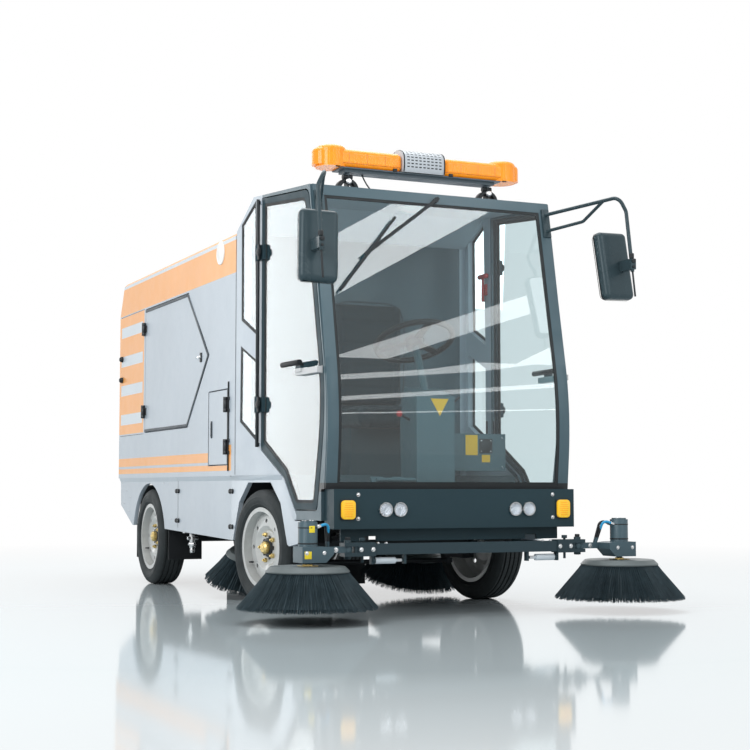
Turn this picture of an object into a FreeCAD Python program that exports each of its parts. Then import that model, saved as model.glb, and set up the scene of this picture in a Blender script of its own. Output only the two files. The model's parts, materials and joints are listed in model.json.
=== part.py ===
"""Compact electric street sweeper truck with an enclosed cab, as separate sub-parts.

Frame: millimetres, +Z up, the truck drives towards -Y and its left side is +X.
The origin is on the ground under the middle of the whole machine.
Stations are distances along Y from the front axle, negative towards the nose.
"""
import FreeCAD, Part
import math
import os
import Sketcher

Vector = FreeCAD.Vector

# alias, value in mm (or degrees), what it is
SIZE_TABLE = (
    ("front_axle", -689, "front axle line, along Y from the origin"),
    ("wheelbase", 1944, "front axle to rear axle"),
    ("half_track", 587, "middle of the truck to the middle of a tyre"),
    ("running_gap", 0.05, "radial clearance of a pin in its bore"),
    ("door_gap", 6, "clearance round a moving panel"),
    ("seal_lip", 15, "how far a seal lip stands behind a moving panel's edge"),
    ("lip_sheet", 5, "thickness of the seal lips"),
    ("lip_gap", 5.5, "moving panel's back to its seal lip"),
    # wheels
    ("tyre_radius", 285, "outside radius of a tyre"),
    ("tyre_half_width", 84, "half the width of a tyre across its sidewalls"),
    ("tread_half_width", 70, "half the width of the tread"),
    ("rim_radius", 183, "bead seat radius of the rim"),
    ("flange_radius", 197, "outside radius of the rim flange"),
    ("rim_half_width", 70, "half the width of the rim over its flanges"),
    ("rim_sheet", 6, "thickness of the rim's steel"),
    ("flange_sheet", 4, "thickness of the rim's flange"),
    ("seat_gap", 0.3, "gap at a seat that does not move"),
    ("hub_radius", 45, "outside radius of the wheel hub"),
    ("vent_ring", 131, "wheel's axis to the middle of a vent hole"),
    ("vent_radius", 11, "radius of a vent hole"),
    ("stub_radius", 20, "radius of the stub axles"),
    ("hub_cap_radius", 30, "radius of the hub's dust cap"),
    # steering
    ("kingpin_inset", 112, "middle of the front tyre to the kingpin"),
    ("kingpin_radius", 12, "radius of the kingpin"),
    ("steer_rest", 8, "angle at which the front wheels stand, to the left"),
    ("steering_arm", 130, "kingpin to the tie rod's pin"),
    ("tie_pin_radius", 8, "radius of the tie rod's ball pins"),
    ("tie_rod_radius", 12, "radius of the tie rod"),
    ("axle_beam", 60, "side of the square front axle beam"),
    # chassis
    ("rail_inner", 280, "middle of the truck to the inside of a rail"),
    ("rail_width", 60, "width of a chassis rail"),
    ("rail_bottom", 360, "height of the underside of the rails"),
    ("rail_top", 460, "height of the top of the rails"),
    ("rail_front", -740, "station of the front end of the rails"),
    ("rail_rear", 2560, "station of the rear end of the rails"),
    ("spring_half_length", 430, "half the length of a leaf spring"),
    ("spring_width", 45, "width of a leaf spring"),
    ("spring_leaf", 18, "thickness of a leaf spring"),
    ("spring_tip", 9, "thickness of a leaf spring at its ends"),
    # cab
    ("cab_rear", 300, "station of the cab's rear edge"),
    ("cab_rear_half", 677, "half width of the cab at its rear edge"),
    ("cab_front_half", 628, "half width of the cab at its windscreen"),
    ("cab_bulge", -850, "station at which the front half width is reached"),
    ("side_depth", 40, "depth of the cab's side frame, inwards"),
    ("post_depth", 18, "depth of the windscreen frame, backwards"),
    ("panel_seam", 2, "seam between the cab's sides and the body"),
    ("post_width", 55, "width of a windscreen post"),
    ("roof_front", -628, "station of the windscreen frame's top edge"),
    ("roof_front_height", 1985, "height of the windscreen frame's top edge"),
    ("roof_rear", 68, "station at which the roof turns down"),
    ("roof_rear_height", 2040, "height of the roof where it turns down"),
    ("nose", -835, "station of the corner that the windscreen bends round"),
    ("nose_height", 950, "height of that corner"),
    ("nose_radius", 1500, "radius of the windscreen's bend"),
    ("foot", -785, "station of the windscreen frame's bottom edge"),
    ("foot_height", 430, "height at which the windscreen posts end"),
    ("sill_height", 590, "height of the windscreen's lower edge"),
    ("header_height", 1935, "height of the windscreen's upper edge"),
    ("glass", 6, "thickness of the glass"),
    ("seat_height", 880, "height of the box under the seat"),
    ("cab_base", 640, "height of the seam under the cab and body sides"),
    ("cab_sheet", 20, "thickness of the cab's floor and walls"),
    ("footwell", 480, "height of the cab's floor in the footwell"),
    ("footwell_front", -738, "station of the front of the cab's floor"),
    ("footwell_rear", -405, "station at which the floor steps up"),
    ("mirror_tube", 9, "radius of a mirror arm's tube"),
    # beacon bar
    ("bar_station", -450, "station of the middle of the beacon bar"),
    ("bar_bottom", 2106, "height of the beacon bar's underside"),
    # cab door, measured ahead of the cab's rear edge along its side
    ("door_rear", 346, "rear edge of the cab door"),
    ("door_margin", 26, "windscreen's face to the door's front edge"),
    ("door_foot", 1009, "front end of the door's bottom edge"),
    ("door_top", 1961, "height of the door's top edge at its front"),
    ("door_thickness", 22, "thickness of the cab door's frame"),
    ("door_border", 30, "width of the cab door's frame round its pane"),
    ("hinge_tube_radius", 9, "radius of the tube that carries the cab door"),
    ("hinge_tube_stand", 15, "tube's axis to the face of the cab side"),
    ("hinge_tube_ahead", 328, "tube's axis ahead of the cab's rear edge"),
    # body
    ("body_half", 677, "half width of the body"),
    ("body_wall", 30, "thickness of the body's walls"),
    ("body_sheet", 25, "thickness of the body's roof, floor and front wall"),
    ("body_top", 1897, "height of the body's roof"),
    ("edge_bevel", 16, "bevel along the body's upper edges"),
    ("skirt_bevel", 25, "height of the bevel along the skirts' upper edges"),
    ("body_rear", 2630, "station of the body's rear face"),
    ("rake_start", 2526, "station at which the roof turns down to the rear"),
    ("rake_height", 1692, "height at which the rear face begins"),
    ("hatch_rear", 2015, "rear edge of the six-sided side hatch"),
    ("hatch_front", 1132, "front end of the hatch's top and bottom edges"),
    ("hatch_point", 750, "front point of the hatch"),
    ("hatch_top", 1674, "height of the hatch's top edge"),
    ("hatch_middle", 1296, "height of the hatch's front point"),
    ("hatch_bottom", 921, "height of the hatch's bottom edge"),
    ("flap_front", 430, "front edge of the small service flap"),
    ("flap_rear", 745, "rear edge of the service flap"),
    ("flap_top", 1090, "height of the flap's top edge"),
    ("flap_bottom", 700, "height of the flap's bottom edge"),
    ("gate_half", 590, "half width of the tailgate"),
    ("gate_top", 1650, "height of the tailgate's top edge"),
    ("gate_bottom", 705, "height of the tailgate's bottom edge"),
    ("hinge_pin", 6, "radius of the hatch, flap and tailgate hinge pins"),
    ("hinge_barrel", 12, "outside radius of those hinges' barrels"),
    ("hinge_stand", 13, "hinge axis to the face that it is screwed to"),
    # skirts
    ("skirt_step", 10, "how far the skirts stand in from the panels above"),
    ("liner_depth", 237, "how far the wheel arch liners reach in"),
    ("arch_centre", 245, "height of the middle of the round rear arch"),
    ("skirt_sheet", 25, "thickness of the skirts"),
    ("arch_top", 604, "height of the top of the wheel arches"),
    ("arch_radius", 360, "radius of the rear wheel arch"),
    ("skirt_bottom", 325, "height of the skirts' lower edge"),
    # bumper
    ("bumper_face", -872, "station of the bumper's face"),
    ("bumper_back", -760, "station of the rear ends of the bumper's returns"),
    ("bumper_half", 617, "half width of the bumper"),
    ("bumper_bottom", 394, "height of the bumper's lower edge"),
    ("bumper_top", 572, "height of the bumper's upper edge"),
    ("bumper_sheet", 6, "thickness of the bumper's steel"),
    # suction
    ("duct_station", 1320, "station of the suction duct's axis"),
    ("duct_radius", 90, "outside radius of the suction duct"),
    # rear bumper
    ("tow_station", 2652, "station of the towing pin's bore"),
    ("tow_radius", 12.5, "radius of that bore"),
    ("tow_bottom", 500, "height of the underside of the towing jaw"),
    ("tow_top", 570, "height of the top of the towing jaw"),
    # front brushes
    ("brush_out", 789, "middle of the truck to a front brush's axis"),
    ("brush_station", -992, "station of the front brushes' axes"),
    ("brush_radius", 306, "radius of a front brush at the bristles' tips"),
    ("brush_plate_radius", 181, "radius of a brush plate"),
    ("brush_bottom", 58, "height of the front bristles' tips, parked"),
    ("brush_height", 184, "height of a brush, tips to plate"),
    ("brush_plate", 22, "thickness of a brush plate at its rim"),
    ("brush_shaft", 14, "radius of a brush's drive shaft"),
    ("beam_station", -950, "station of the brush beam's middle line"),
    ("beam_height", 308, "height of the brush beam's middle line"),
    ("beam_half", 560, "half length of the brush beam"),
    ("beam_size", 48, "height of the brush beam"),
    ("sleeve_wall", 6, "thickness of the sleeves at the beam's ends"),
    ("link_notch", 22, "height of the valance's notches over the beam's links"),
    ("lift_station", -640, "station of the pivot that lifts the brush beam"),
    ("arm_pivot", 585, "middle of the truck to a front arm's pivot"),
    ("motor_radius", 42, "radius of a brush motor"),
    ("motor_base", 326, "height of the front motors' mounting faces"),
    ("motor_height", 104, "height of a brush motor"),
    ("cup_length", 112, "length of a motor's bracket, along the truck"),
    ("hub_nut_radius", 24, "radius of the nut on a brush plate"),
    ("sleeve_start", 462, "middle of the truck to the inner ends of the beam's sleeves"),
    ("sleeve_end", 545, "middle of the truck to the solid sleeves' outer ends"),
    ("lift_pin", 12, "radius of the pins that the brush beam and arms lift about"),
    # middle brushes
    ("mid_out", 450, "middle of the truck to a middle brush's axis"),
    ("mid_station", 585, "station of the middle brushes' axes"),
    ("mid_radius", 285, "radius of a middle brush at its tips"),
    ("mid_tilt", 15, "tilt of a middle brush, front edge down"),
    ("mid_height", 170, "height of a middle brush, tips to plate"),
    ("mid_raise", 76, "height of the middle of a middle brush's tips"),
    ("mid_pivot", 985, "station of the post that a middle brush's arm slides up"),
    ("post_radius", 16, "radius of that post"),
    ("sleeve_low", 300, "height of the underside of the arm's sleeve"),
    ("sleeve_length", 90, "length of the arm's sleeve"),
)


class Size:
    """A size of the model: its value and the expression that gives it from the sheet."""

    def __init__(self, value, text):
        self.value = float(value)
        self.text = text

    def __add__(self, other):
        other = as_size(other)
        return Size(self.value + other.value, f"({self.text} + {other.text})")

    def __sub__(self, other):
        other = as_size(other)
        return Size(self.value - other.value, f"({self.text} - {other.text})")

    def __mul__(self, other):
        other = as_size(other)
        return Size(self.value * other.value, f"({self.text} * {other.text})")

    def __truediv__(self, other):
        other = as_size(other)
        return Size(self.value / other.value, f"({self.text} / {other.text})")

    def __radd__(self, other):
        return as_size(other) + self

    def __rsub__(self, other):
        return as_size(other) - self

    def __rmul__(self, other):
        return as_size(other) * self

    def __neg__(self):
        return as_size(0) - self


def as_size(value):
    """Return a plain number as a Size, and a Size as it is."""
    if isinstance(value, Size):
        return value
    return Size(value, repr(float(value)))


def sine(angle):
    """Return the sine of an angle in degrees."""
    return Size(math.sin(math.radians(angle.value)), f"sin({angle.text})")


def cosine(angle):
    """Return the cosine of an angle in degrees."""
    return Size(math.cos(math.radians(angle.value)), f"cos({angle.text})")


def angle_of(rise, run):
    """Return the angle in degrees whose tangent is rise over run."""
    ratio = rise / run
    return Size(math.degrees(math.atan(ratio.value)), f"atan({ratio.text})")


class Sizes:
    """The driving sizes, each an attribute that is bound to a cell of the sheet."""

    def __init__(self, doc, table):
        sheet = doc.addObject("Spreadsheet::Sheet", "Sizes")
        for row, (alias, value, meaning) in enumerate(table, start=1):
            sheet.set(f"A{row}", alias)
            sheet.set(f"B{row}", repr(value))
            sheet.setAlias(f"B{row}", alias)
            sheet.set(f"C{row}", meaning)
            setattr(self, alias, Size(value, f"Sizes.{alias}"))


doc = FreeCAD.newDocument("street_sweeper")
s = Sizes(doc, SIZE_TABLE)
doc.recompute()
nodes = []


# --- tools for making bound features -------------------------------------------------

def bind(obj, prop, size):
    """Bind a property of an object to a size."""
    obj.setExpression(prop, as_size(size).text)


def place(obj, x=0, y=0, z=0, axis=None, angle=0):
    """Put an object at a point, turned by an angle about an axis."""
    if axis is not None:
        turn = FreeCAD.Rotation(axis, as_size(angle).value)
        obj.Placement = FreeCAD.Placement(Vector(0, 0, 0), turn)
        bind(obj, "Placement.Rotation.Angle", as_size(angle))
        obj.Placement.Rotation.Axis = axis
    for name, size in (("x", x), ("y", y), ("z", z)):
        bind(obj, f"Placement.Base.{name}", size)
    return obj


def node(obj, label):
    """Make an object a sub-part with its own label, and so its own file."""
    obj.Label = label
    nodes.append(obj)
    return obj


def new_body(name):
    """Return a new, empty body."""
    return doc.addObject("PartDesign::Body", name)


def sketch_on(body, role, shift):
    """Return a sketch on one of a body's origin planes, shifted along its normal."""
    plane = [part for part in body.Origin.OriginFeatures if part.Role == role][0]
    sketch = body.newObject("Sketcher::SketchObject", "outline")
    sketch.AttachmentSupport = (plane, [""])
    sketch.MapMode = "FlatFace"
    bind(sketch, "AttachmentOffset.Base.z", shift)
    return sketch


def corner_arc(before, corner, after, radius):
    """Return the tangent points and the arc that rounds a corner, and its sense."""
    back = (before - corner).normalize()
    ahead = (after - corner).normalize()
    half = back.getAngle(ahead) / 2
    reach = radius / math.tan(half)
    start = corner + back * reach
    end = corner + ahead * reach
    centre = corner + (back + ahead).normalize() * (radius / math.sin(half))
    turns_left = (corner - before).cross(after - corner).z > 0
    first, last = (start, end) if turns_left else (end, start)
    begin = math.atan2(first.y - centre.y, first.x - centre.x)
    finish = math.atan2(last.y - centre.y, last.x - centre.x)
    circle = Part.Circle(centre, Vector(0, 0, 1), radius)
    return start, end, Part.ArcOfCircle(circle, begin, finish), turns_left


def draw(sketch, corners):
    """Draw a closed outline of straight sides whose corners are (across, up[, radius])."""
    table = [tuple(as_size(value) for value in corner) for corner in corners]
    count = len(table)
    points = [Vector(corner[0].value, corner[1].value, 0) for corner in table]
    arcs = {}
    for index, corner in enumerate(table):
        if len(corner) > 2:
            arcs[index] = corner_arc(points[index - 1], points[index],
                                     points[(index + 1) % count], corner[2].value)
    geometry = []
    for index in range(count):
        following = (index + 1) % count
        start = arcs[index][1] if index in arcs else points[index]
        end = arcs[following][0] if following in arcs else points[following]
        geometry.append(Part.LineSegment(start, end))
    arc_ids = {}
    for index in arcs:
        arc_ids[index] = len(geometry)
        geometry.append(arcs[index][2])
    sketch.addGeometry(geometry)
    rules = []
    bound = []
    tips = []
    for index, corner in enumerate(table):
        side_in = (index - 1) % count
        if index in arcs:
            arc = arc_ids[index]
            arc_start, arc_end = (1, 2) if arcs[index][3] else (2, 1)
            rules.append(Sketcher.Constraint("Tangent", side_in, 2, arc, arc_start))
            rules.append(Sketcher.Constraint("Tangent", arc, arc_end, index, 1))
            bound.append((len(rules), corner[2]))
            rules.append(Sketcher.Constraint("Radius", arc, corner[2].value))
            tip = len(geometry) + len(tips)
            tips.append(Part.Point(points[index]))
            rules.append(Sketcher.Constraint("PointOnObject", tip, 1, side_in))
            rules.append(Sketcher.Constraint("PointOnObject", tip, 1, index))
            fixed = (tip, 1)
        else:
            rules.append(Sketcher.Constraint("Coincident", side_in, 2, index, 1))
            fixed = (index, 1)
        for kind, size in (("DistanceX", corner[0]), ("DistanceY", corner[1])):
            bound.append((len(rules), size))
            rules.append(Sketcher.Constraint(kind, fixed[0], fixed[1], size.value))
    if tips:
        sketch.addGeometry(tips, True)
    sketch.addConstraint(rules)
    for index, size in bound:
        if "Sizes." in size.text:
            bind(sketch, f"Constraints[{index}]", size)
    return sketch


def pad(body, role, corners, start, length, both=False):
    """Add a pad of an outline on an origin plane, from start along the plane's normal."""
    feature = body.newObject("PartDesign::Pad", "pad")
    feature.Profile = draw(sketch_on(body, role, start), corners)
    bind(feature, "Length", length)
    feature.Midplane = both
    return body


def pocket(body, role, corners, start, length, both=False):
    """Cut a pocket of an outline, from start along the plane's normal."""
    feature = body.newObject("PartDesign::Pocket", "pocket")
    feature.Profile = draw(sketch_on(body, role, start), corners)
    bind(feature, "Length", length)
    feature.Midplane = both
    feature.Reversed = not both
    return body


def spun(name, corners, about="H_Axis"):
    """Return a body turned from an outline in its XZ plane, about X or about Z."""
    body = new_body(name)
    sketch = draw(sketch_on(body, "XZ_Plane", 0), corners)
    feature = body.newObject("PartDesign::Revolution", "turned")
    feature.Profile = sketch
    feature.ReferenceAxis = (sketch, [about])
    feature.Angle = 360
    return body


def box(name, one, other):
    """Return a box between two opposite corners."""
    solid = doc.addObject("Part::Box", name)
    lows = []
    for side, first, second in zip(("Length", "Width", "Height"), one, other):
        first, second = as_size(first), as_size(second)
        low, high = (first, second) if first.value < second.value else (second, first)
        bind(solid, side, high - low)
        lows.append(low)
    return place(solid, *lows)


def rod(name, start, direction, length, radius):
    """Return a cylinder from a point along X, Y or Z."""
    solid = doc.addObject("Part::Cylinder", name)
    bind(solid, "Radius", radius)
    bind(solid, "Height", length)
    if direction == "X":
        return place(solid, *start, axis=Vector(0, 1, 0), angle=90)
    if direction == "Y":
        return place(solid, *start, axis=Vector(-1, 0, 0), angle=90)
    return place(solid, *start)


def fused(name, parts):
    """Return the union of some solids."""
    union = doc.addObject("Part::MultiFuse", name)
    union.Shapes = parts
    return union


def cut(name, base, tools):
    """Return a solid less some others."""
    tool = tools[0] if len(tools) == 1 else fused(name + "_tools", tools)
    result = doc.addObject("Part::Cut", name)
    result.Base = base
    result.Tool = tool
    return result


def mirrored(source, name):
    """Return a copy of a solid on the other side of the truck."""
    copy = doc.addObject("Part::Mirroring", name)
    copy.Source = source
    copy.Normal = Vector(1, 0, 0)
    return copy


def rounded(solid, radius):
    """Return a box with all its edges rounded."""
    fillet = doc.addObject("Part::Fillet", solid.Name + "_round")
    fillet.Base = solid
    fillet.Edges = [(index, float(radius), float(radius)) for index in range(1, 13)]
    return fillet


def both_sides(label, source):
    """Make one sub-part of a left-hand solid and its mirror image."""
    group = doc.addObject("Part::Compound", label)
    group.Links = [source, mirrored(source, label + "_mirrored")]
    return node(group, label)


def turned(name, solid, x, y, z, axis, angle):
    """Return a solid turned about the origin and then moved to a point."""
    group = doc.addObject("Part::Compound", name)
    group.Links = [solid]
    return place(group, x, y, z, axis=axis, angle=angle)


def left_and_right(label, source):
    """Make two sub-parts, a left-hand solid and its mirror image."""
    node(source, label + "_left")
    node(mirrored(source, label + "_right"), label + "_right")


def at(station):
    """Return the Y of a station."""
    return s.front_axle + station


rear_axle_line = s.front_axle + s.wheelbase
side_angle = angle_of(s.cab_rear_half - s.cab_front_half, s.cab_rear - s.cab_bulge)


def on_cab_side(obj):
    """Put a solid drawn flat on the cab's left side, whose plan tapers to the front."""
    return place(obj, s.cab_rear_half, at(s.cab_rear), 0, axis=Vector(0, 0, -1), angle=side_angle)


# --- wheels and steering ----------------------------------------------------------------

def tyre(name):
    """Return a tyre about the X axis, its middle at the origin."""
    bead = s.rim_half_width - s.flange_sheet - s.seat_gap
    bead_top = s.flange_radius + 2
    middle = (s.rim_radius + s.tyre_radius) / 2
    return spun(name, [
        (-bead, s.rim_radius + s.seat_gap), (bead, s.rim_radius + s.seat_gap), (bead, bead_top),
        (s.tyre_half_width, middle, 30), (s.tread_half_width, s.tyre_radius, 16),
        (-s.tread_half_width, s.tyre_radius, 16), (-s.tyre_half_width, middle, 30),
        (-bead, bead_top)])


VENT_COUNT = 8  # vent holes round a rim


def rim(name):
    """Return a steel rim with its hub about the X axis, its outer face towards +X."""
    inner = s.rim_radius - s.rim_sheet
    edge = s.rim_half_width
    lip = edge - s.flange_sheet
    bore = s.stub_radius + s.running_gap
    disc = spun(name, [
        (edge, s.flange_radius), (lip, s.flange_radius), (lip, s.rim_radius),
        (-lip, s.rim_radius), (-lip, s.flange_radius), (-edge, s.flange_radius),
        (-edge, inner), (12, inner), (30, inner - 25), (34, 110), (20, 88), (20, s.hub_radius),
        (-30, s.hub_radius), (-30, bore), (44, bore), (44, 0), (58, 0),
        (58, s.hub_cap_radius - 6), (50, s.hub_cap_radius), (26, s.hub_cap_radius),
        (26, 84), (40, 108), (36, inner - 22), (24, inner), (edge, inner)])
    vents = []
    for index in range(VENT_COUNT):
        hole = rod("vent_hole", (0, 0, s.vent_ring), "X", s.rim_half_width, s.vent_radius)
        vents.append(turned("vent", hole, 0, 0, 0, Vector(1, 0, 0), 360 * index / VENT_COUNT))
    return cut(name + "_vented", disc, vents)


def make_wheels():
    """Make the four tyres and the four rims."""
    for name, maker in (("tyre", tyre), ("rim", rim)):
        rear = place(maker(name + "_rear"), s.half_track, rear_axle_line, s.tyre_radius)
        left_and_right(name + "_rear", rear)
        for side, label in ((1, "left"), (-1, "right")):
            wheel = place(maker(name + "_front"), s.kingpin_inset, 0, s.tyre_radius)
            if side < 0:
                wheel = mirrored(wheel, name + "_front_mirrored")
            steered(wheel, side, f"{name}_front_{label}")


def steered(solid, side, label):
    """Make a sub-part of a solid drawn about a kingpin, turned to the steering's rest angle."""
    group = doc.addObject("Part::Compound", label)
    group.Links = [solid]
    place(group, side * (s.half_track - s.kingpin_inset), s.front_axle, 0,
          axis=Vector(0, 0, 1), angle=s.steer_rest)
    node(group, label)


def knuckle():
    """Return a steering knuckle about its kingpin: yoke, stub axle and steering arm."""
    eye_half = s.axle_beam / 2 + 20
    top = s.tyre_radius + eye_half + 0.3
    bottom = s.tyre_radius - eye_half - 0.3
    yoke = 20
    pin = rod("kingpin", (0, 0, bottom - yoke), "Z", 2 * eye_half + 2 * yoke + 0.6,
              s.kingpin_radius)
    upper = box("yoke_upper", (-24, -24, top), (52, 24, top + yoke))
    lower = box("yoke_lower", (-24, -24, bottom - yoke), (52, 24, bottom))
    web = box("yoke_web", (36, -24, bottom), (52, 24, top))
    stub = rod("stub_axle", (44, 0, s.tyre_radius), "X", s.kingpin_inset - 1, s.stub_radius)
    arm = box("steering_arm", (-16, 20, bottom - yoke), (16, s.steering_arm + 18, bottom))
    tie_pin = rod("tie_pin", (0, s.steering_arm, bottom - yoke - 34), "Z", 40, s.tie_pin_radius)
    return fused("knuckle_solid", [pin, upper, lower, web, stub, arm, tie_pin])


def make_steering():
    """Make the knuckles, the tie rod and the front axle beam."""
    for side, label in ((1, "left"), (-1, "right")):
        solid = knuckle()
        if side < 0:
            solid = mirrored(solid, "knuckle_mirrored")
        steered(solid, side, f"knuckle_{label}")
    kingpin_x = s.half_track - s.kingpin_inset
    eye_bottom = s.tyre_radius - s.axle_beam / 2 - 20
    eye_height = s.axle_beam + 40
    # tie rod, behind the axle and parallel to it
    arm_x = -s.steering_arm * sine(s.steer_rest)
    arm_y = s.front_axle + s.steering_arm * cosine(s.steer_rest)
    rod_z = eye_bottom - 20.3 - 17
    bar = rod("tie_bar", (arm_x - kingpin_x, arm_y, rod_z), "X", 2 * kingpin_x, s.tie_rod_radius)
    ends = [rod("tie_eye", (arm_x + side * kingpin_x, arm_y, rod_z - 13), "Z", 26, 20)
            for side in (-1, 1)]
    bores = [rod("tie_bore", (arm_x + side * kingpin_x, arm_y, rod_z - 14), "Z", 28,
                 s.tie_pin_radius + s.running_gap) for side in (-1, 1)]
    node(cut("tie_rod", fused("tie_rod_blank", [bar] + ends), bores), "tie_rod")
    # front axle
    beam = box("axle_beam_solid", (-kingpin_x, s.front_axle - s.axle_beam / 2,
                                   s.tyre_radius - s.axle_beam / 2),
               (kingpin_x, s.front_axle + s.axle_beam / 2, s.tyre_radius + s.axle_beam / 2))
    eyes = [rod("axle_eye", (side * kingpin_x, s.front_axle, eye_bottom), "Z", eye_height, 28)
            for side in (-1, 1)]
    holes = [rod("kingpin_bore", (side * kingpin_x, s.front_axle, eye_bottom - 1), "Z",
                 eye_height + 2, s.kingpin_radius + s.running_gap) for side in (-1, 1)]
    node(cut("front_axle_beam", fused("axle_blank", [beam] + eyes), holes), "front_axle_beam")


def make_rear_axle():
    """Make the driven rear axle: tube, gear case with its motor, and the stub axles."""
    stub_end = s.half_track + 40
    half_tube = s.half_track - 50
    tube = rod("axle_tube", (-half_tube, rear_axle_line, s.tyre_radius), "X", 2 * half_tube, 35)
    stub = rod("axle_stub", (-stub_end, rear_axle_line, s.tyre_radius), "X", 2 * stub_end,
               s.stub_radius)
    case = rod("gear_case", (-90, rear_axle_line, s.tyre_radius), "X", 180, 105)
    motor = rod("drive_motor", (0, rear_axle_line - 380, s.tyre_radius + 10), "Y", 320, 92)
    node(fused("rear_axle", [tube, stub, case, motor]), "rear_axle")


def make_springs():
    """Make the four leaf springs that carry the rails on the axles."""
    seat = s.tyre_radius + s.axle_beam / 2
    reach = s.spring_half_length
    springs = []
    for name, line, low in (("front", s.front_axle, seat), ("rear", rear_axle_line, seat + 5)):
        body = new_body("leaf_" + name)
        pad(body, "YZ_Plane", [
            (-reach, s.rail_bottom), (-reach, s.rail_bottom - s.spring_tip), (-60, low), (60, low),
            (reach, s.rail_bottom - s.spring_tip), (reach, s.rail_bottom), (reach - 60, s.rail_bottom),
            (70, low + s.spring_leaf), (-70, low + s.spring_leaf), (60 - reach, s.rail_bottom)],
            0, s.spring_width, both=True)
        place(body, s.rail_inner + s.rail_width / 2, line, 0)
        springs += [body, mirrored(body, "leaf_mirrored")]
    group = doc.addObject("Part::Compound", "leaf_springs")
    group.Links = springs
    node(group, "leaf_springs")


# --- chassis ------------------------------------------------------------------------------

CROSSMEMBERS = (  # station, length along the truck
    (-710, 60), (-330, 60), (330, 60), (1120, 60), (2350, 60), (2520, 60))
BODY_MOUNTS = (400, 1050, 1500, 2420)  # stations of the posts that carry the body's floor


def make_chassis():
    """Make the welded ladder frame with its body mounts and bumper brackets."""
    outer = s.rail_inner + s.rail_width
    parts = []
    posts = []
    for side in (-1, 1):
        parts.append(box("rail", (side * s.rail_inner, at(s.rail_front), s.rail_bottom),
                         (side * outer, at(s.rail_rear), s.rail_top)))
        for station in BODY_MOUNTS:
            posts.append(box("body_mount", (side * s.rail_inner, at(station - 30), s.rail_top),
                             (side * outer, at(station + 30), s.cab_base)))
        parts.append(box("bumper_bracket", (side * s.rail_inner, at(s.bumper_face) + s.bumper_sheet,
                                            s.bumper_bottom + 16),
                         (side * outer, at(s.rail_front), s.rail_top)))
    for station, length in CROSSMEMBERS:
        parts.append(box("crossmember", (-s.rail_inner, at(station - length / 2), s.rail_bottom + 10),
                         (s.rail_inner, at(station + length / 2), s.rail_top - 10)))
    node(fused("chassis_frame", parts), "chassis_frame")
    group = doc.addObject("Part::Compound", "body_mounts")
    group.Links = posts
    node(group, "body_mounts")
    battery = box("battery_pack", (-260, at(380), s.rail_bottom + 10), (260, at(1060), s.cab_base))
    node(battery, "battery_pack")


# --- cab ------------------------------------------------------------------------------------

def nose_line(height, offset=0):
    """Return the station of the windscreen's straight upper stretch at a height."""
    slope = (s.roof_front - s.nose) / (s.roof_front_height - s.nose_height)
    return s.nose + (height - s.nose_height) * slope + offset


def chin_line(height, offset=0):
    """Return the station of the windscreen's straight lower stretch at a height."""
    slope = (s.nose - s.foot) / (s.nose_height - s.foot_height)
    return s.foot + (height - s.foot_height) * slope + offset


def screen_tilt():
    """Return the angle at which the windscreen's upper stretch leans back."""
    return angle_of(s.roof_front - s.nose, s.roof_front_height - s.nose_height)


def screen_band(bottom, top, front, depth):
    """Return the corners of a curved upright band, seen from the side."""
    back = front + depth
    return [
        (at(nose_line(top, front)), top),
        (at(s.nose + front), s.nose_height, s.nose_radius),
        (at(chin_line(bottom, front)), bottom),
        (at(chin_line(bottom, back)), bottom),
        (at(s.nose + back), s.nose_height, s.nose_radius - depth),
        (at(nose_line(top, back)), top)]


def make_screen():
    """Return the windscreen's frame, and make the windscreen."""
    opening_half = s.cab_front_half - s.post_width
    frame = new_body("screen_frame")
    pad(frame, "YZ_Plane", screen_band(s.bumper_top, s.roof_front_height, 0, s.post_depth),
        0, 2 * s.cab_front_half, both=True)
    pocket(frame, "XZ_Plane", [
        (-opening_half, s.sill_height), (opening_half, s.sill_height),
        (opening_half, s.header_height), (-opening_half, s.header_height)],
        -at(s.roof_front) - 200, 600)
    glass = new_body("windshield")
    pad(glass, "YZ_Plane", screen_band(s.sill_height, s.header_height, 4, s.glass),
        0, 2 * opening_half, both=True)
    node(glass, "windshield")
    return frame


DOOR_HINGES = (986, 1742)  # heights of the cab door's hinges


def door_corners(gap):
    """Return the corners of the cab door's outline, grown by a gap, on the cab's side."""
    slant = gap * 0.5
    top_front = s.cab_rear - nose_line(s.door_top) - s.door_margin
    bend = s.cab_rear - nose_line(as_size(970)) - s.door_margin
    return [
        (-(s.door_rear - gap), 770 - gap), (-(s.door_rear - gap), 2012 + gap),
        (-(top_front + gap), s.door_top + gap, 55), (-(bend + gap), 970, 1100),
        (-(s.door_foot + gap), 478 - gap, 30),
        (-(764 - slant), 478 - gap, 25), (-(635 - slant), 628 - gap)]


QUARTER_WINDOWS = (  # corners of the two panes, ahead of the cab's rear edge and up
    ((74, 1430), (70, 1924), (262, 2018), (280, 1337)),
    ((62, 912), (68, 1300), (280, 1212), (280, 808)))


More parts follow.
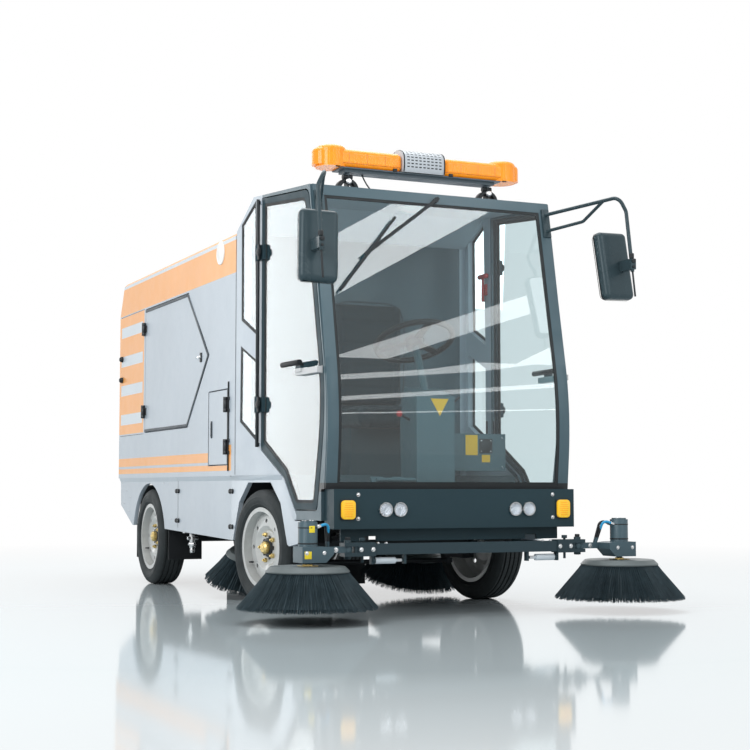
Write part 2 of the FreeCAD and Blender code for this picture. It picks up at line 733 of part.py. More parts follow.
def make_cab():
    """Make the cab's frame, quarter windows, floor and roof."""
    screen_frame = make_screen()
    side = new_body("cab_side")
    top_run = s.cab_rear - s.roof_rear
    front_top = s.cab_rear - s.roof_front - 8
    chin = s.cab_rear - chin_line(s.bumper_top) - 8
    back = s.cab_rear - s.bumper_back - 2
    pad(side, "YZ_Plane", [
        (-s.panel_seam, s.cab_base), (-s.panel_seam, s.body_top + 2), (-top_run, s.roof_rear_height),
        (-front_top, s.roof_front_height), (-(s.cab_rear - s.nose - 8), s.nose_height, s.nose_radius),
        (-chin, s.bumper_top), (-back, s.bumper_top), (-back, s.foot_height),
        (-740, s.foot_height), (-600, s.cab_base)], -s.side_depth, s.side_depth)
    lip_face = s.door_thickness + s.lip_gap
    pocket(side, "YZ_Plane", door_corners(s.door_gap), -lip_face, lip_face + 10)
    pocket(side, "YZ_Plane", door_corners(-s.seal_lip), -s.side_depth - 10, s.side_depth + 20)
    for pane in QUARTER_WINDOWS:
        pocket(side, "YZ_Plane", [(-ahead, up) for ahead, up in pane],
               -s.side_depth - 10, s.side_depth + 20)
    on_cab_side(side)
    tube = rod("hinge_tube", (s.hinge_tube_stand, -s.hinge_tube_ahead, 778), "Z", 1232,
               s.hinge_tube_radius)
    feet = [box("tube_foot", (-5, -s.hinge_tube_ahead - 8, up),
                (s.hinge_tube_stand, -s.hinge_tube_ahead + 8, up + 16)) for up in (782, 1986)]
    post = on_cab_side(fused("hinge_post", [tube] + feet))
    whole_side = cut("cab_side_cut", fused("cab_side_solid", [side, post]), [screen_frame])
    sides = [whole_side, mirrored(whole_side, "cab_side_mirrored")]
    inner_half = s.cab_rear_half - s.side_depth
    rear_wall = box("cab_rear_wall", (-inner_half, at(s.cab_rear - s.body_wall), s.cab_base - s.cab_sheet),
                    (inner_half, at(s.cab_rear), s.body_top - 12))
    toe_half = s.cab_front_half - s.side_depth
    toe_panel = box("toe_panel", (-toe_half, at(s.bumper_back + 2), s.rail_top),
                    (toe_half, at(s.footwell_front), s.sill_height))
    toe_fold = box("toe_fold", (-toe_half, at(chin_line(s.sill_height, s.post_depth)) - 5, s.bumper_top),
                   (toe_half, at(s.footwell_front), s.sill_height))
    toe = cut("toe_cut", fused("toe_solid", [toe_panel, toe_fold]), [screen_frame])
    group = doc.addObject("Part::Compound", "cab_frame_group")
    group.Links = [screen_frame, rear_wall, toe] + sides
    node(group, "cab_frame")

    panes = []
    for pane in QUARTER_WINDOWS:
        body = new_body("quarter_pane")
        pad(body, "YZ_Plane", [(-ahead, up) for ahead, up in pane], -10, s.glass)
        on_cab_side(body)
        panes += [body, mirrored(body, "quarter_pane_mirrored")]
    group = doc.addObject("Part::Compound", "quarter_windows")
    group.Links = panes
    node(group, "quarter_windows")

    floor = new_body("floor_sheet")
    wall_front = s.cab_rear - s.body_wall
    step = s.footwell_rear + 70
    pad(floor, "YZ_Plane", [
        (at(s.footwell_front), s.footwell - s.cab_sheet), (at(s.footwell_rear), s.footwell - s.cab_sheet),
        (at(step), s.cab_base - s.cab_sheet), (at(wall_front), s.cab_base - s.cab_sheet),
        (at(wall_front), s.cab_base), (at(step - 10), s.cab_base),
        (at(s.footwell_rear - 10), s.footwell), (at(s.footwell_front), s.footwell)],
        0, 2 * (s.cab_front_half - s.side_depth), both=True)
    seat_box = box("seat_box", (-190, at(-60), s.cab_base), (190, at(240), s.seat_height))
    node(fused("cab_floor_solid", [floor, seat_box]), "cab_floor")

    roof = new_body("roof_sheet")
    roof_end = s.roof_front + s.post_depth + 3
    pad(roof, "YZ_Plane", [
        (at(s.cab_rear), s.body_top - 12), (at(s.cab_rear), s.body_top + 2),
        (at(s.roof_rear), s.roof_rear_height), (at(roof_end), s.roof_front_height + 3),
        (at(roof_end), s.roof_front_height - 20), (at(s.roof_rear - 8), s.roof_rear_height - 26),
        (at(s.cab_rear - s.body_wall), s.body_top - 12)],
        0, 2 * s.cab_rear_half, both=True)
    plan = new_body("roof_plan")
    inner_half = inner_half - s.seat_gap
    run = s.cab_rear - roof_end
    front_inner = inner_half - run * (s.cab_rear_half - s.cab_front_half) / (s.cab_rear - s.cab_bulge)
    pad(plan, "XY_Plane", [
        (-inner_half, at(s.cab_rear)), (inner_half, at(s.cab_rear)),
        (front_inner, at(roof_end)), (-front_inner, at(roof_end))], s.body_top - 100, 400)
    trimmed = doc.addObject("Part::MultiCommon", "cab_roof")
    trimmed.Shapes = [roof, plan]
    node(trimmed, "cab_roof")


def make_cab_doors():
    """Make the two cab doors: glazed frames with their hinges and handles."""
    panel = new_body("cab_door_panel")
    pad(panel, "YZ_Plane", door_corners(0), -s.door_thickness, s.door_thickness)
    pocket(panel, "YZ_Plane", door_corners(-s.door_border), -s.door_thickness - 5, s.door_thickness + 10)
    tube = (s.hinge_tube_stand, -s.hinge_tube_ahead)
    barrels = []
    leaves = []
    for up in DOOR_HINGES:
        barrels.append(rod("door_barrel", (tube[0], tube[1], up - 40), "Z", 80, s.hinge_tube_radius + 5))
        leaves.append(box("door_leaf", (1, -s.hinge_tube_ahead - 62, up - 36),
                          (10, -s.hinge_tube_ahead - 6, up + 36)))
        leaves.append(box("leaf_pad", (-2, -s.hinge_tube_ahead - 62, up - 36),
                          (2, -s.door_rear - 2, up + 36)))
    latch = box("door_latch", (-2, -1068, 1098), (24, -809, 1126))
    foot = box("grip_foot", (16, -896, 1112), (34, -840, 1150))
    grip = rod("door_grip", (36, -896, 1155), "Y", 202, 13)
    bore = rod("tube_bore", (tube[0], tube[1], 700), "Z", 1400,
               s.hinge_tube_radius + s.running_gap)
    whole = cut("cab_door_solid", fused("cab_door_blank", [panel, grip, foot, latch]
                                        + barrels + leaves), [bore])
    left_and_right("cab_door", on_cab_side(whole))
    pane = new_body("door_pane")
    pad(pane, "YZ_Plane", door_corners(-s.door_border - s.seat_gap), -10, s.glass)
    left_and_right("door_glass", on_cab_side(pane))


def make_cab_inside():
    """Make the driver's seat, the control column with its pedals and the steering wheel."""
    low = s.seat_height + s.seat_gap
    high = low + 105
    cushion = box("cushion_block", (-235, at(-250), low), (235, at(235), high))
    back = box("back_block", (-225, at(150), high + s.seat_gap), (225, at(255), high + 575))
    for block, label, radius in ((cushion, "seat_cushion", 30), (back, "seat_back", 35)):
        node(rounded(block, radius), label)
    column = new_body("column_casing")
    pad(column, "YZ_Plane", [
        (at(-640), s.footwell), (at(-470), s.footwell), (at(-455), 900),
        (at(-500), 1060), (at(-640), 1010)], 0, 200, both=True)
    shaft = rod("steering_shaft", (0, 0, 0), "Z", 290, 18)
    place(shaft, 0, at(-545), 1000, axis=Vector(-1, 0, 0), angle=25)
    switch_box = box("switch_box", (100, at(-560), 660), (420, at(-440), 840))
    leg = box("switch_leg", (100, at(-540), s.footwell), (130, at(-460), 660))
    pedals = []
    for middle in (-170, -280):
        pedals.append(turned("pedal", box("pedal_plate", (-32, -6, -45), (32, 6, 45)),
                             middle, at(-600), 590, Vector(-1, 0, 0), 35))
        pedals.append(rod("pedal_rod", (middle, at(-622), 560), "Z", 60, 7))
    pedals.append(rod("pedal_shaft", (-300, at(-622), 615), "X", 220, 10))
    node(fused("control_column", [column, shaft, switch_box, leg] + pedals), "control_column")
    ring = doc.addObject("Part::Torus", "wheel_ring")
    ring.Radius1 = 190
    ring.Radius2 = 14
    spokes = [box("wheel_spoke", (-18, 0, -8), (18, -185, 2))]
    for angle in (120, 240):
        spoke = box("wheel_spoke", (-18, 0, -8), (18, -185, 2))
        spokes.append(turned("turned_spoke", spoke, 0, 0, 0, Vector(0, 0, 1), angle))
    hub = rod("wheel_hub", (0, 0, -34), "Z", 40, 45)
    wheel = fused("steering_wheel", [ring, hub] + spokes)
    place(wheel, 0, at(-545) + 324 * sine(as_size(25)), 1000 + 324 * cosine(as_size(25)),
          axis=Vector(-1, 0, 0), angle=25)
    node(wheel, "steering_wheel")


def make_roof_fittings():
    """Make the beacon bar: its rail, feet and speaker, and its two lenses."""
    middle = at(s.bar_station)
    low = s.bar_bottom
    rail = box("beacon_rail", (-405, middle - 40, low - 20), (405, middle + 40, low))
    lip = box("rail_lip", (-430, middle - 62, low - 6), (430, middle + 62, low))
    speaker = rod("speaker_drum", (-112, middle, low + 54), "X", 224, 64)
    slab = box("speaker_slab", (-112, middle - 72, low), (112, middle + 72, low + 86))
    slope = (s.roof_rear_height - s.roof_front_height - 3) / (s.roof_rear - s.roof_front - s.post_depth - 3)
    foot_base = s.roof_rear_height - (s.roof_rear - s.bar_station - 30) * slope + s.seat_gap
    feet = []
    for side in (-1, 1):
        feet.append(box("foot_pad", (side * 350, middle - 30, foot_base),
                        (side * 410, middle + 30, foot_base + 10)))
        feet.append(box("foot_web", (side * 374, middle - 22, foot_base),
                        (side * 384, middle + 22, low - 18)))
        feet.append(rod("foot_knob", (side * 379 - 24, middle - 6, low - 38), "X", 48, 13))
    node(fused("beacon_base", [rail, lip, speaker, slab] + feet), "beacon_base")
    inner_end = 112 + s.seat_gap
    block = box("lens_block", (inner_end, middle - 68, low + s.seat_gap), (455, middle + 68, low + 88))
    lens = rounded(block, 26)
    dome = doc.addObject("Part::Fillet", "dome_round")
    dome.Base = rod("dome_block", (462, middle, low + s.seat_gap), "Z", 104, 76)
    dome.Edges = [(index, 24.0, 24.0) for index in (1, 3)]
    nose = doc.addObject("Part::Fillet", "nose_round")
    nose.Base = rod("nose_block", (500, middle, low + 8), "Z", 84, 56)
    nose.Edges = [(index, 22.0, 22.0) for index in (1, 3)]
    both_sides("beacon_lenses", fused("lens_solid", [lens, dome, nose]))


def tube_along(name, points, radius, bend=0):
    """Return a round tube along straight runs between some points, bent at the corners."""
    points = [Vector(*[as_size(value).value for value in point]) for point in points]
    edges = []
    start = points[0]
    for before, corner, after in zip(points, points[1:], points[2:]):
        back = (before - corner).normalize()
        ahead = (after - corner).normalize()
        half = back.getAngle(ahead) / 2
        reach = bend / math.tan(half)
        inward = (back + ahead).normalize()
        middle = corner + inward * (bend / math.sin(half) - bend)
        edges.append(Part.makeLine(start, corner + back * reach))
        edges.append(Part.Arc(corner + back * reach, middle, corner + ahead * reach).toShape())
        start = corner + ahead * reach
    edges.append(Part.makeLine(start, points[-1]))
    ring = Part.Wire([Part.makeCircle(as_size(radius).value, points[0], points[1] - points[0])])
    feature = doc.addObject("Part::Feature", name)
    feature.Shape = Part.Wire(edges).makePipeShell([ring], True, False)
    return feature


def make_mirrors():
    """Make the two mirrors on their bent tubular arms."""
    hang_y = at(-1030).value
    foot = turned("mirror_foot", box("mirror_plate", (-20, -10, -72), (20, -0.3, 72)),
                  606, at(nose_line(as_size(1880))), 1880, Vector(-1, 0, 0), screen_tilt())
    high, low = (
        (606, at(nose_line(as_size(up), -6)).value, up) for up in (1925, 1842))
    corner = (751, hang_y - 53, 1950)
    upper = tube_along("mirror_tube", [high, corner, (786, hang_y - 60, 1882), (788, hang_y - 105, 1590)],
                       s.mirror_tube, 45)
    joint = tuple(start + (end - start) * 0.8 for start, end in zip(high, corner))
    lower = tube_along("mirror_brace", [low, (685, hang_y + 160, 1862), joint], s.mirror_tube - 1, 35)
    shell = rounded(box("mirror_shell", (-88, -29, -163), (88, 29, 163)), 24)
    head = turned("mirror_head", shell, 757, hang_y + 10, 1627, Vector(-8, -3, 8), 11.7)
    clamp = box("mirror_clamp", (774, hang_y - 114, 1600), (802, hang_y - 5, 1650))
    both_sides("mirrors", fused("mirror_solid", [upper, lower, foot, head, clamp]))


def make_wiper():
    """Make the windscreen wiper, hung from the header: spindle, arm and blade."""
    stand = 24
    spindle = rod("wiper_spindle", (0, 0, 0), "Y", stand * cosine(screen_tilt()) - s.seat_gap, 12)
    arm = box("wiper_arm", (-8, -8, -505), (8, 0, 12))
    blade = box("wiper_blade", (-6, -4, -243), (6, 12, 243))
    parts = [spindle]
    for solid, across, up, angle in ((arm, 0, 0, 52.9), (blade, -382, -295, 39.3)):
        parts.append(turned("wiper_turned", solid, across, 0, up, Vector(0, 1, 0), angle))
    wiper = fused("wiper_solid", parts)
    place(wiper, 0, at(nose_line(s.header_height + 18)) - stand, s.header_height + 18,
          axis=Vector(-1, 0, 0), angle=screen_tilt())
    node(wiper, "wiper")


def make_bumper():
    """Make the folded front bumper with its valance, and its lamps."""
    shell = new_body("bumper_shell")
    face = -at(s.bumper_face)
    depth = s.bumper_back - s.bumper_face
    half = s.bumper_half
    pad(shell, "XZ_Plane", [(-half, s.bumper_bottom), (half, s.bumper_bottom),
                            (half, s.bumper_top), (-half, s.bumper_top)], face - depth, depth)
    inset = s.bumper_sheet
    pocket(shell, "XZ_Plane", [
        (inset - half, s.bumper_bottom + inset), (half - inset, s.bumper_bottom + inset),
        (half - inset, s.bumper_top - inset), (inset - half, s.bumper_top - inset)],
        face - depth - 5, depth - inset + 5)
    valance_low = s.beam_height + s.beam_size / 2 + s.sleeve_wall
    valance = box("valance", (-560, at(-812), valance_low), (560, at(-800), s.bumper_bottom + 3))
    notches = [box("valance_notch", (side * 385, at(-820), valance_low - 5),
                   (side * 445, at(-790), valance_low + s.link_notch)) for side in (-1, 1)]
    node(cut("bumper_solid", fused("bumper_blank", [shell, valance]), notches), "front_bumper")
    lamps = []
    for centre in (-368, -296, 296, 368):
        lamps.append(rod("headlamp", (centre, at(s.bumper_face) - 14, 480), "Y", 14, 33))
    group = doc.addObject("Part::Compound", "headlamps")
    group.Links = lamps
    node(group, "headlamps")
    indicator = box("turn_signal", (515, at(s.bumper_face) - 18, 434), (590, at(s.bumper_face), 526))
    both_sides("turn_signals", indicator)


# --- body -------------------------------------------------------------------------------------

def hatch_corners(gap):
    """Return the corners of the six-sided side hatch, grown by a gap."""
    slant = gap * 0.414
    point = gap * 1.414
    return [
        (at(s.hatch_rear) + gap, s.hatch_bottom - gap), (at(s.hatch_rear) + gap, s.hatch_top + gap),
        (at(s.hatch_front) - slant, s.hatch_top + gap), (at(s.hatch_point) - point, s.hatch_middle),
        (at(s.hatch_front) - slant, s.hatch_bottom - gap)]


def flap_corners(gap):
    """Return the corners of the service flap, grown by a gap."""
    return [
        (at(s.flap_front) - gap, s.flap_bottom - gap), (at(s.flap_rear) + gap, s.flap_bottom - gap),
        (at(s.flap_rear) + gap, s.flap_top + gap), (at(s.flap_front) - gap, s.flap_top + gap)]


HATCH_HINGES = (1045, 1555)  # heights of the side hatch's hinges
FLAP_HINGES = (790, 1010)  # heights of the service flap's hinges
GATE_HINGES = (-400, 400)  # places of the tailgate's hinges across the truck


def hinge_fixed(axis_y, heights, towards):
    """Return a body side's half of its upright hinges: pins, end barrels and leaves."""
    axis_x = s.body_half + s.hinge_stand
    parts = []
    for up in heights:
        parts.append(rod("hinge_pin", (axis_x, axis_y, up - 40), "Z", 80, s.hinge_pin))
        for low in (up - 40, up + 22):
            parts.append(rod("hinge_barrel", (axis_x, axis_y, low), "Z", 18, s.hinge_barrel))
            parts.append(box("hinge_leaf", (s.body_half - 2, axis_y, low),
                             (s.body_half + 5, axis_y + towards * 40, low + 18)))
    return parts


def hinge_moving(axis_y, heights, towards):
    """Return a door's half of its upright hinges, and the bores for their pins."""
    axis_x = s.body_half + s.hinge_stand
    parts = []
    bores = []
    for up in heights:
        parts.append(rod("door_hinge_barrel", (axis_x, axis_y, up - 21.7), "Z", 43.4, s.hinge_barrel))
        parts.append(box("door_hinge_leaf", (s.body_half - 2, axis_y, up - 21.7),
                         (s.body_half + 5, axis_y + towards * 40, up + 21.7)))
        bores.append(rod("hinge_bore", (axis_x, axis_y, up - 30), "Z", 60, s.hinge_pin + s.running_gap))
    return parts, bores


def make_body():
    """Make the body's side walls, roof, floor and rear frame."""
    inner = s.body_half - s.body_wall
    wall = new_body("side_wall")
    pad(wall, "YZ_Plane", [
        (at(s.cab_rear), s.cab_base), (at(s.body_rear), s.cab_base), (at(s.body_rear), s.rake_height),
        (at(s.rake_start), s.body_top), (at(s.cab_rear), s.body_top)], inner, s.body_wall)
    for outline in (hatch_corners, flap_corners):
        pocket(wall, "YZ_Plane", outline(s.door_gap), inner + s.lip_sheet, s.body_wall + 20)
        pocket(wall, "YZ_Plane", outline(-s.seal_lip), inner - 10, s.body_wall + 20)
    hatch_axis = at(s.hatch_rear) + s.door_gap / 2
    flap_axis = at(s.flap_front) - s.door_gap / 2
    hinges = hinge_fixed(hatch_axis, HATCH_HINGES, 1) + hinge_fixed(flap_axis, FLAP_HINGES, -1)
    wedge = new_body("edge_wedge")
    side, top, bevel = s.body_half, s.body_top, s.edge_bevel
    pad(wedge, "XZ_Plane", [(side - bevel, top), (side - bevel, top + 5), (side + 5, top + 5),
                            (side + 5, top - bevel), (side, top - bevel)],
        -at(s.rake_start) - bevel, s.rake_start + bevel - s.cab_rear)
    both_sides("body_side_walls", cut("side_wall_cut", fused("side_wall_solid", [wall] + hinges), [wedge]))

    for label, corners, axis_y, heights, towards in (
            ("side_hatch", hatch_corners(0), hatch_axis, HATCH_HINGES, -1),
            ("service_flap", flap_corners(0), flap_axis, FLAP_HINGES, 1)):
        panel = new_body(label + "_panel")
        back = s.lip_sheet + s.lip_gap
        pad(panel, "YZ_Plane", corners, inner + back, s.body_wall - back)
        parts, bores = hinge_moving(axis_y, heights, towards)
        left_and_right(label, cut(label + "_solid", fused(label + "_blank", [panel] + parts), bores))

    roof = new_body("body_roof")
    pad(roof, "YZ_Plane", [
        (at(s.cab_rear), s.body_top), (at(s.rake_start), s.body_top), (at(s.body_rear), s.rake_height),
        (at(s.body_rear) - 28, s.rake_height), (at(s.rake_start) - 16, s.body_top - s.body_sheet),
        (at(s.cab_rear), s.body_top - s.body_sheet)], 0, 2 * inner, both=True)
    node(roof, "body_roof")

    floor = new_body("floor_pan")
    rear_inner = s.body_rear - s.body_wall
    pad(floor, "YZ_Plane", [
        (at(s.cab_rear), s.cab_base), (at(rear_inner), s.cab_base),
        (at(rear_inner), s.cab_base + s.body_sheet),
        (at(s.cab_rear) + s.body_sheet, s.cab_base + s.body_sheet),
        (at(s.cab_rear) + s.body_sheet, s.body_top - s.body_sheet),
        (at(s.cab_rear), s.body_top - s.body_sheet)], 0, 2 * inner, both=True)
    inlet = rod("inlet_hole", (0, at(s.duct_station), s.cab_base - 10), "Z", s.body_sheet + 20,
                s.duct_radius - 6)
    node(cut("floor_solid", floor, [inlet]), "body_floor")

    gap = s.door_gap
    frame = new_body("rear_frame_plate")
    pad(frame, "XZ_Plane", [(-inner, s.cab_base), (inner, s.cab_base), (inner, s.rake_height),
                            (-inner, s.rake_height)], -at(s.body_rear), s.body_wall)
    for grow, depth in ((gap, s.body_wall - s.lip_sheet), (-s.seal_lip, s.body_wall + 10)):
        side = s.gate_half + grow
        pocket(frame, "XZ_Plane", [
            (-side, s.gate_bottom - grow), (side, s.gate_bottom - grow),
            (side, s.gate_top + grow), (-side, s.gate_top + grow)],
            -at(s.body_rear) - 10, depth + 10)
    axis_y = at(s.body_rear) + s.hinge_stand
    axis_z = s.gate_top + gap / 2
    fixed = [frame]
    moving = []
    bores = []
    for middle in GATE_HINGES:
        fixed.append(rod("gate_pin", (middle - 50, axis_y, axis_z), "X", 100, s.hinge_pin))
        for low in (middle - 50, middle + 27):
            fixed.append(rod("gate_barrel", (low, axis_y, axis_z), "X", 23, s.hinge_barrel))
            fixed.append(box("gate_leaf", (low, axis_y - s.hinge_stand - 2, axis_z),
                             (low + 23, axis_y - s.hinge_stand + 5, axis_z + 34)))
        moving.append(rod("gate_door_barrel", (middle - 26.7, axis_y, axis_z), "X", 53.4, s.hinge_barrel))
        moving.append(box("gate_door_leaf", (middle - 26.7, axis_y - s.hinge_stand - 2, axis_z - 40),
                          (middle + 26.7, axis_y - s.hinge_stand + 5, axis_z)))
        bores.append(rod("gate_bore", (middle - 40, axis_y, axis_z), "X", 80,
                         s.hinge_pin + s.running_gap))
    node(fused("rear_frame", fixed), "rear_frame")
    panel = box("tailgate_panel", (-s.gate_half, at(rear_inner) + s.lip_sheet + s.lip_gap, s.gate_bottom),
                (s.gate_half, at(s.body_rear), s.gate_top))
    node(cut("tailgate", fused("tailgate_blank", [panel] + moving), bores), "tailgate")


def liner_plates(points, start, width, sheet=4):
    """Return flat plates that follow an arch seen from the side, each a solid of its own."""
    plates = []
    middle = (as_size(points[0][0]) + points[-1][0]) / 2
    for (one_y, one_z), (two_y, two_z) in zip(points, points[1:]):
        plate = new_body("liner_plate")
        flare = []
        for y, z in ((one_y, one_z), (two_y, two_z)):
            away = sheet if as_size(y).value > middle.value else -sheet
            flare.append((y + away, z + sheet))
        pad(plate, "YZ_Plane", [(one_y, one_z), (two_y, two_z), flare[1], flare[0]], start, width)
        plates.append(plate)
    return plates


def bevel_strip(outside, inside, base, rear, front):
    """Return the sloping strip that joins a skirt's face to the panel above it."""
    strip = new_body("bevel_strip")
    pad(strip, "XZ_Plane", [(inside - 12, base), (outside, base), (inside, base - s.skirt_bevel),
                            (inside - 12, base - s.skirt_bevel)], -rear, rear - front)
    return strip


def make_skirts():
    """Make the front fenders, the skirts under the body and the wheel arch liners."""
    fender = new_body("fender")
    base = s.cab_base
    low = s.skirt_bottom - 15
    wheel = s.cab_rear
    seam = 75
    arch = [(352 - wheel, low), (268 - wheel, 505), (145 - wheel, s.arch_top),
            (-(wheel + 145), s.arch_top), (-(wheel + 268), 505), (-(wheel + 352), low)]
    pad(fender, "YZ_Plane", [(seam, base), (seam, low)] + arch + [
        (-(wheel + 372), 303), (-(wheel + 590), 332), (-(wheel + 640), 424),
        (-(764 - 20), 424), (-(600 - 6), base)], -s.skirt_sheet - s.skirt_step, s.skirt_sheet)
    strip = bevel_strip(as_size(0), -s.skirt_step, base, as_size(seam), as_size(6 - 600))
    both_sides("front_fenders", on_cab_side(fused("fender_solid", [fender, strip])))
    # the liner stands wider than the arch, so that the steered wheel turns inside it
    lining = [(-wheel + across, up) for across, up in (
        (364, low), (342, 420), (272, 520), (145, s.arch_top), (-145, s.arch_top), (-272, 520),
        (-342, 420), (-364, low))]
    front_liner = doc.addObject("Part::Compound", "front_liner")
    front_liner.Links = liner_plates(lining, -s.liner_depth,
                                     s.liner_depth - s.skirt_sheet - s.skirt_step)
    on_cab_side(front_liner)

    outer = s.body_half - s.skirt_step
    inner = outer - s.skirt_sheet
    split = 1330
    middle = new_body("middle_skirt")
    front = at(s.cab_rear + 78)
    pad(middle, "YZ_Plane", [(front, base), (front, low), (at(split), low + 22), (at(split), base)],
        inner, s.skirt_sheet)
    middle_strip = bevel_strip(s.body_half, outer, base, at(split), front)
    rear = new_body("rear_skirt")
    hub = s.wheelbase
    round_arch = []
    for angle in range(-16, 197, 30):
        round_arch.append((at(hub) + s.arch_radius * cosine(as_size(angle)),
                           s.arch_centre + s.arch_radius * sine(as_size(angle))))
    pad(rear, "YZ_Plane", [
        (at(split + 3), base), (at(split + 3), low + 22), (at(hub - s.arch_radius - 10), low + 28),
        (at(hub + s.arch_radius + 10), 346), (at(2600), 470), (at(2610), base)], inner, s.skirt_sheet)
    wheel_hole = rod("arch_hole", (inner - 10, at(hub), s.arch_centre), "X",
                     s.skirt_sheet + 20, s.arch_radius)
    rear_strip = bevel_strip(s.body_half, outer, base, at(2610), at(split + 3))
    group = doc.addObject("Part::Compound", "skirt_group")
    group.Links = [fused("middle_skirt_solid", [middle, middle_strip]),
                   fused("rear_skirt_solid", [cut("rear_skirt_cut", rear, [wheel_hole]), rear_strip])]
    both_sides("body_skirts", group)
    liners = doc.addObject("Part::Compound", "liner_group")
    liners.Links = [front_liner] + liner_plates(
        round_arch, s.body_half - s.liner_depth, s.liner_depth - s.skirt_sheet - s.skirt_step)
    both_sides("wheel_liners", liners)


def make_rear_fittings():
    """Make the rear bumper beam and the tail lamps."""
    face = 2615
    beam = box("bumper_beam", (-600, at(2560), 480), (600, at(face), 590))
    brackets = [box("rear_bracket", (side * s.rail_inner, at(s.rail_rear), s.rail_bottom + 20),
                    (side * (s.rail_inner + s.rail_width), at(face) - 5, 480)) for side in (-1, 1)]
    jaws = [box("jaw_web", (-40, at(face), s.tow_bottom), (40, at(face) + 6, s.tow_top))]
    jaws += [box("tow_jaw", (-40, at(face), low), (40, at(s.tow_station) + 24, low + 15))
            for low in (s.tow_bottom, s.tow_top - 15)]
    bore = rod("tow_bore", (0, at(s.tow_station), s.tow_bottom - 10), "Z", 100, s.tow_radius)
    jaw = cut("tow_jaws", fused("jaw_blank", jaws), [bore])
    group = doc.addObject("Part::Compound", "rear_bumper_group")
    group.Links = [beam, jaw] + brackets
    node(group, "rear_bumper")
    lamp = box("tail_lamp", (500, at(face) + s.seat_gap, 495), (590, at(2662), 575))
    both_sides("tail_lamps", lamp)


# --- brushes ------------------------------------------------------------------------------------

SLOT_COUNT = 8  # slots round a brush plate


def brush(name, radius, height):
    """Return a disc brush about the Z axis, its bristle tips at z = 0."""
    top = as_size(height)
    plate = s.brush_plate_radius
    rim_top = top - s.brush_plate
    bore = s.brush_shaft + s.running_gap
    ring = spun(name, [
        (bore, top + 9), (s.hub_nut_radius, top + 9), (s.hub_nut_radius, top), (plate - 22, top),
        (plate, rim_top), (radius, 0), (radius - 70, 0), (plate - 60, rim_top - 10),
        (bore, rim_top - 10)],
        about="V_Axis")
    slots = []
    for index in range(SLOT_COUNT):
        slot = box("slot", (-9, 78, top - 8), (9, 128, top + 2))
        slots.append(turned("slot_turned", slot, 0, 0, 0, Vector(0, 0, 1), 360 * index / SLOT_COUNT))
    return cut(name + "_slotted", ring, slots)


